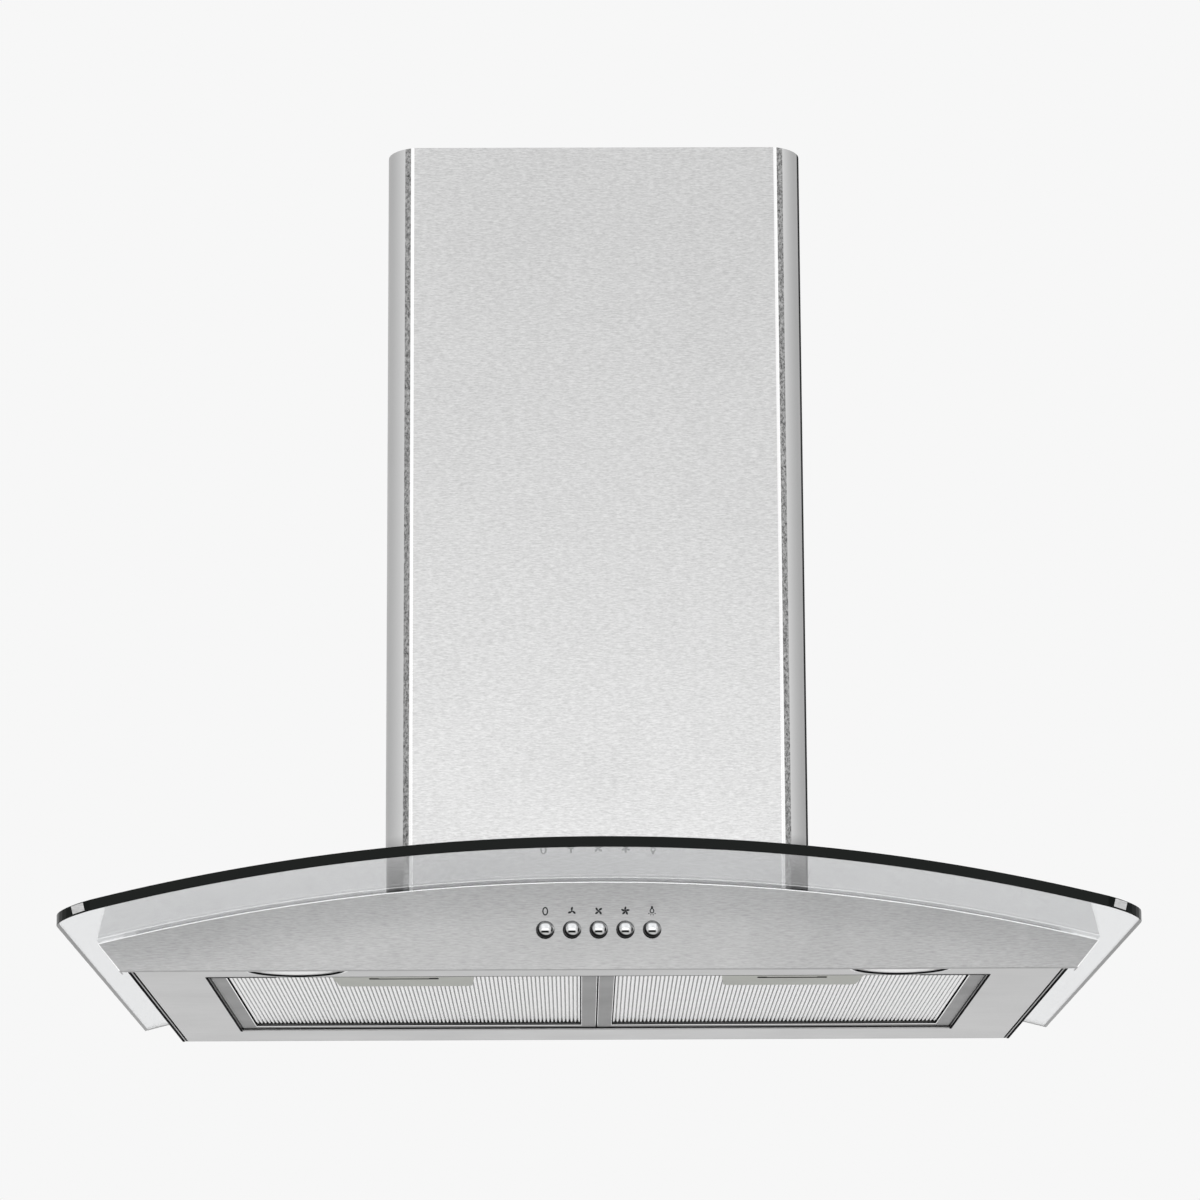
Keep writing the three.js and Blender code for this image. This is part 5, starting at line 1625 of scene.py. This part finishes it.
@dataclass
class Studio:
    """The camera, the softboxes, the pale surroundings and the floor."""

    place: Point = (-0.01275, -2.69185, -0.61406)
    lens: float = 121.995  # on a 36 mm sensor
    sensor: float = 36.0
    shift_y: float = 0.17137
    pitch: float = 0.17914
    yaw: float = 0.00601
    roll: float = -0.00494
    background: float = 0.93
    fill: float = 0.62
    floor_height: float = -1.3
    floor_tone: float = 0.4
    floor_lift: Pair = (0.285, 0.535)  # the floor's own glow, as a light and where it is seen
    softboxes: tuple[Softbox, ...] = (
        Softbox("key", (-1.3, -3.0, 1.5), (0, -0.2, -0.1), (2.2, 2.2), 2),
        Softbox("low_front", (0, -5.0, -0.15), (0, -0.2, -0.2), (6.4, 1.6), 30),
        Softbox("side", (2.6, -1.6, 1.0), (0, -0.2, -0.1), (2.4, 2.4), 2),
    )

    def camera(self) -> None:
        """Sets up the camera at the photograph's viewing angle."""
        ahead = Vector((math.sin(self.yaw), math.cos(self.yaw), 0))
        right = Vector((math.cos(self.yaw), -math.sin(self.yaw), 0))
        above = Vector(Axis.Z.value)
        forward = math.cos(self.pitch) * ahead + math.sin(self.pitch) * above
        up = math.cos(self.pitch) * above - math.sin(self.pitch) * ahead
        side = math.cos(self.roll) * right + math.sin(self.roll) * up
        top = -math.sin(self.roll) * right + math.cos(self.roll) * up
        data = bpy.data.cameras.new("camera")
        data.lens, data.sensor_width, data.shift_y = self.lens, self.sensor, self.shift_y
        data.clip_start, data.clip_end = 0.01, 100
        camera = bpy.data.objects.new("camera", data)
        turn = Matrix((side, top, -forward)).transposed().to_4x4()
        camera.matrix_world = Matrix.Translation(self.place) @ turn
        bpy.context.scene.collection.objects.link(camera)
        bpy.context.scene.camera = camera

    def lamps(self) -> None:
        """Hangs the softboxes."""
        for box in self.softboxes:
            data = bpy.data.lights.new(box.name, "AREA")
            data.shape, (data.size, data.size_y), data.energy = "RECTANGLE", box.size, box.power
            lamp = bpy.data.objects.new(box.name, data)
            lamp.location = box.place
            lamp.rotation_mode = "QUATERNION"
            lamp.rotation_quaternion = (Vector(box.aim) - Vector(box.place)).to_track_quat("-Z", "Y")
            bpy.context.scene.collection.objects.link(lamp)

    @staticmethod
    def seen(tree: Tree, socket: Socket, unseen: float, seen: float) -> None:
        """Gives a socket one level as a light, and another to the camera, to metal and to glass.

        Args:
            tree: The material's or the world's nodes.
            socket: The strength to set.
            unseen: Its level as a light.
            seen: Its level where it is seen.
        """
        rays = tree.nodes.new("ShaderNodeLightPath")
        total = rays.outputs["Is Camera Ray"]
        for name in ("Is Glossy Ray", "Is Transmission Ray"):
            either = tree.nodes.new("ShaderNodeMath")
            either.operation = "MAXIMUM"
            tree.links.new(total, either.inputs[0])
            tree.links.new(rays.outputs[name], either.inputs[1])
            total = either.outputs[0]
        level = tree.nodes.new("ShaderNodeMapRange")
        level.inputs["To Min"].default_value = unseen
        level.inputs["To Max"].default_value = seen
        tree.links.new(total, level.inputs["Value"])
        tree.links.new(level.outputs["Result"], socket)

    def surroundings(self) -> None:
        """Makes the world pale to the camera, to metal and to glass, and plainer as a light."""
        world = bpy.data.worlds.new("surroundings")
        bpy.context.scene.world = world
        world.use_nodes = True
        tree = world.node_tree
        shade = tree.nodes["Background"]
        shade.inputs["Color"].default_value = (1, 1, 1, 1)
        self.seen(tree, shade.inputs["Strength"], self.fill, self.background)

    def floor(self) -> None:
        """Lays a pale floor under the hood."""
        Bench.clear()
        bpy.ops.mesh.primitive_plane_add(size=24, location=(0, 0, self.floor_height))
        floor = bpy.context.object
        floor.name = "floor"
        material = bpy.data.materials.new("pale_floor")
        material.use_nodes = True
        shader = material.node_tree.nodes["Principled BSDF"]
        shader.inputs["Base Color"].default_value = (self.floor_tone,) * 3 + (1,)
        shader.inputs["Roughness"].default_value = 0.8
        shader.inputs["Specular IOR Level"].default_value = 0.1
        shader.inputs["Emission Color"].default_value = (1, 1, 1, 1)
        self.seen(material.node_tree, shader.inputs["Emission Strength"], *self.floor_lift)
        floor.data.materials.append(material)

    def build(self) -> None:
        """Sets everything up."""
        self.camera()
        self.lamps()
        self.surroundings()
        self.floor()
        bpy.context.scene.view_settings.view_transform = "Standard"


def main() -> None:
    """Builds the studio and each sub-assembly."""
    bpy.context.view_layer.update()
    Studio().build()
    shop = PaintShop()
    visible = (GlassCanopy, Canopy, Controls, Downlights, Filters, Chimney)
    for sub_assembly in (*visible, Mounting, Blower, Outlet):
        sub_assembly(shop).build()
    Bench.clear()


if __name__ == "__main__":
    main()
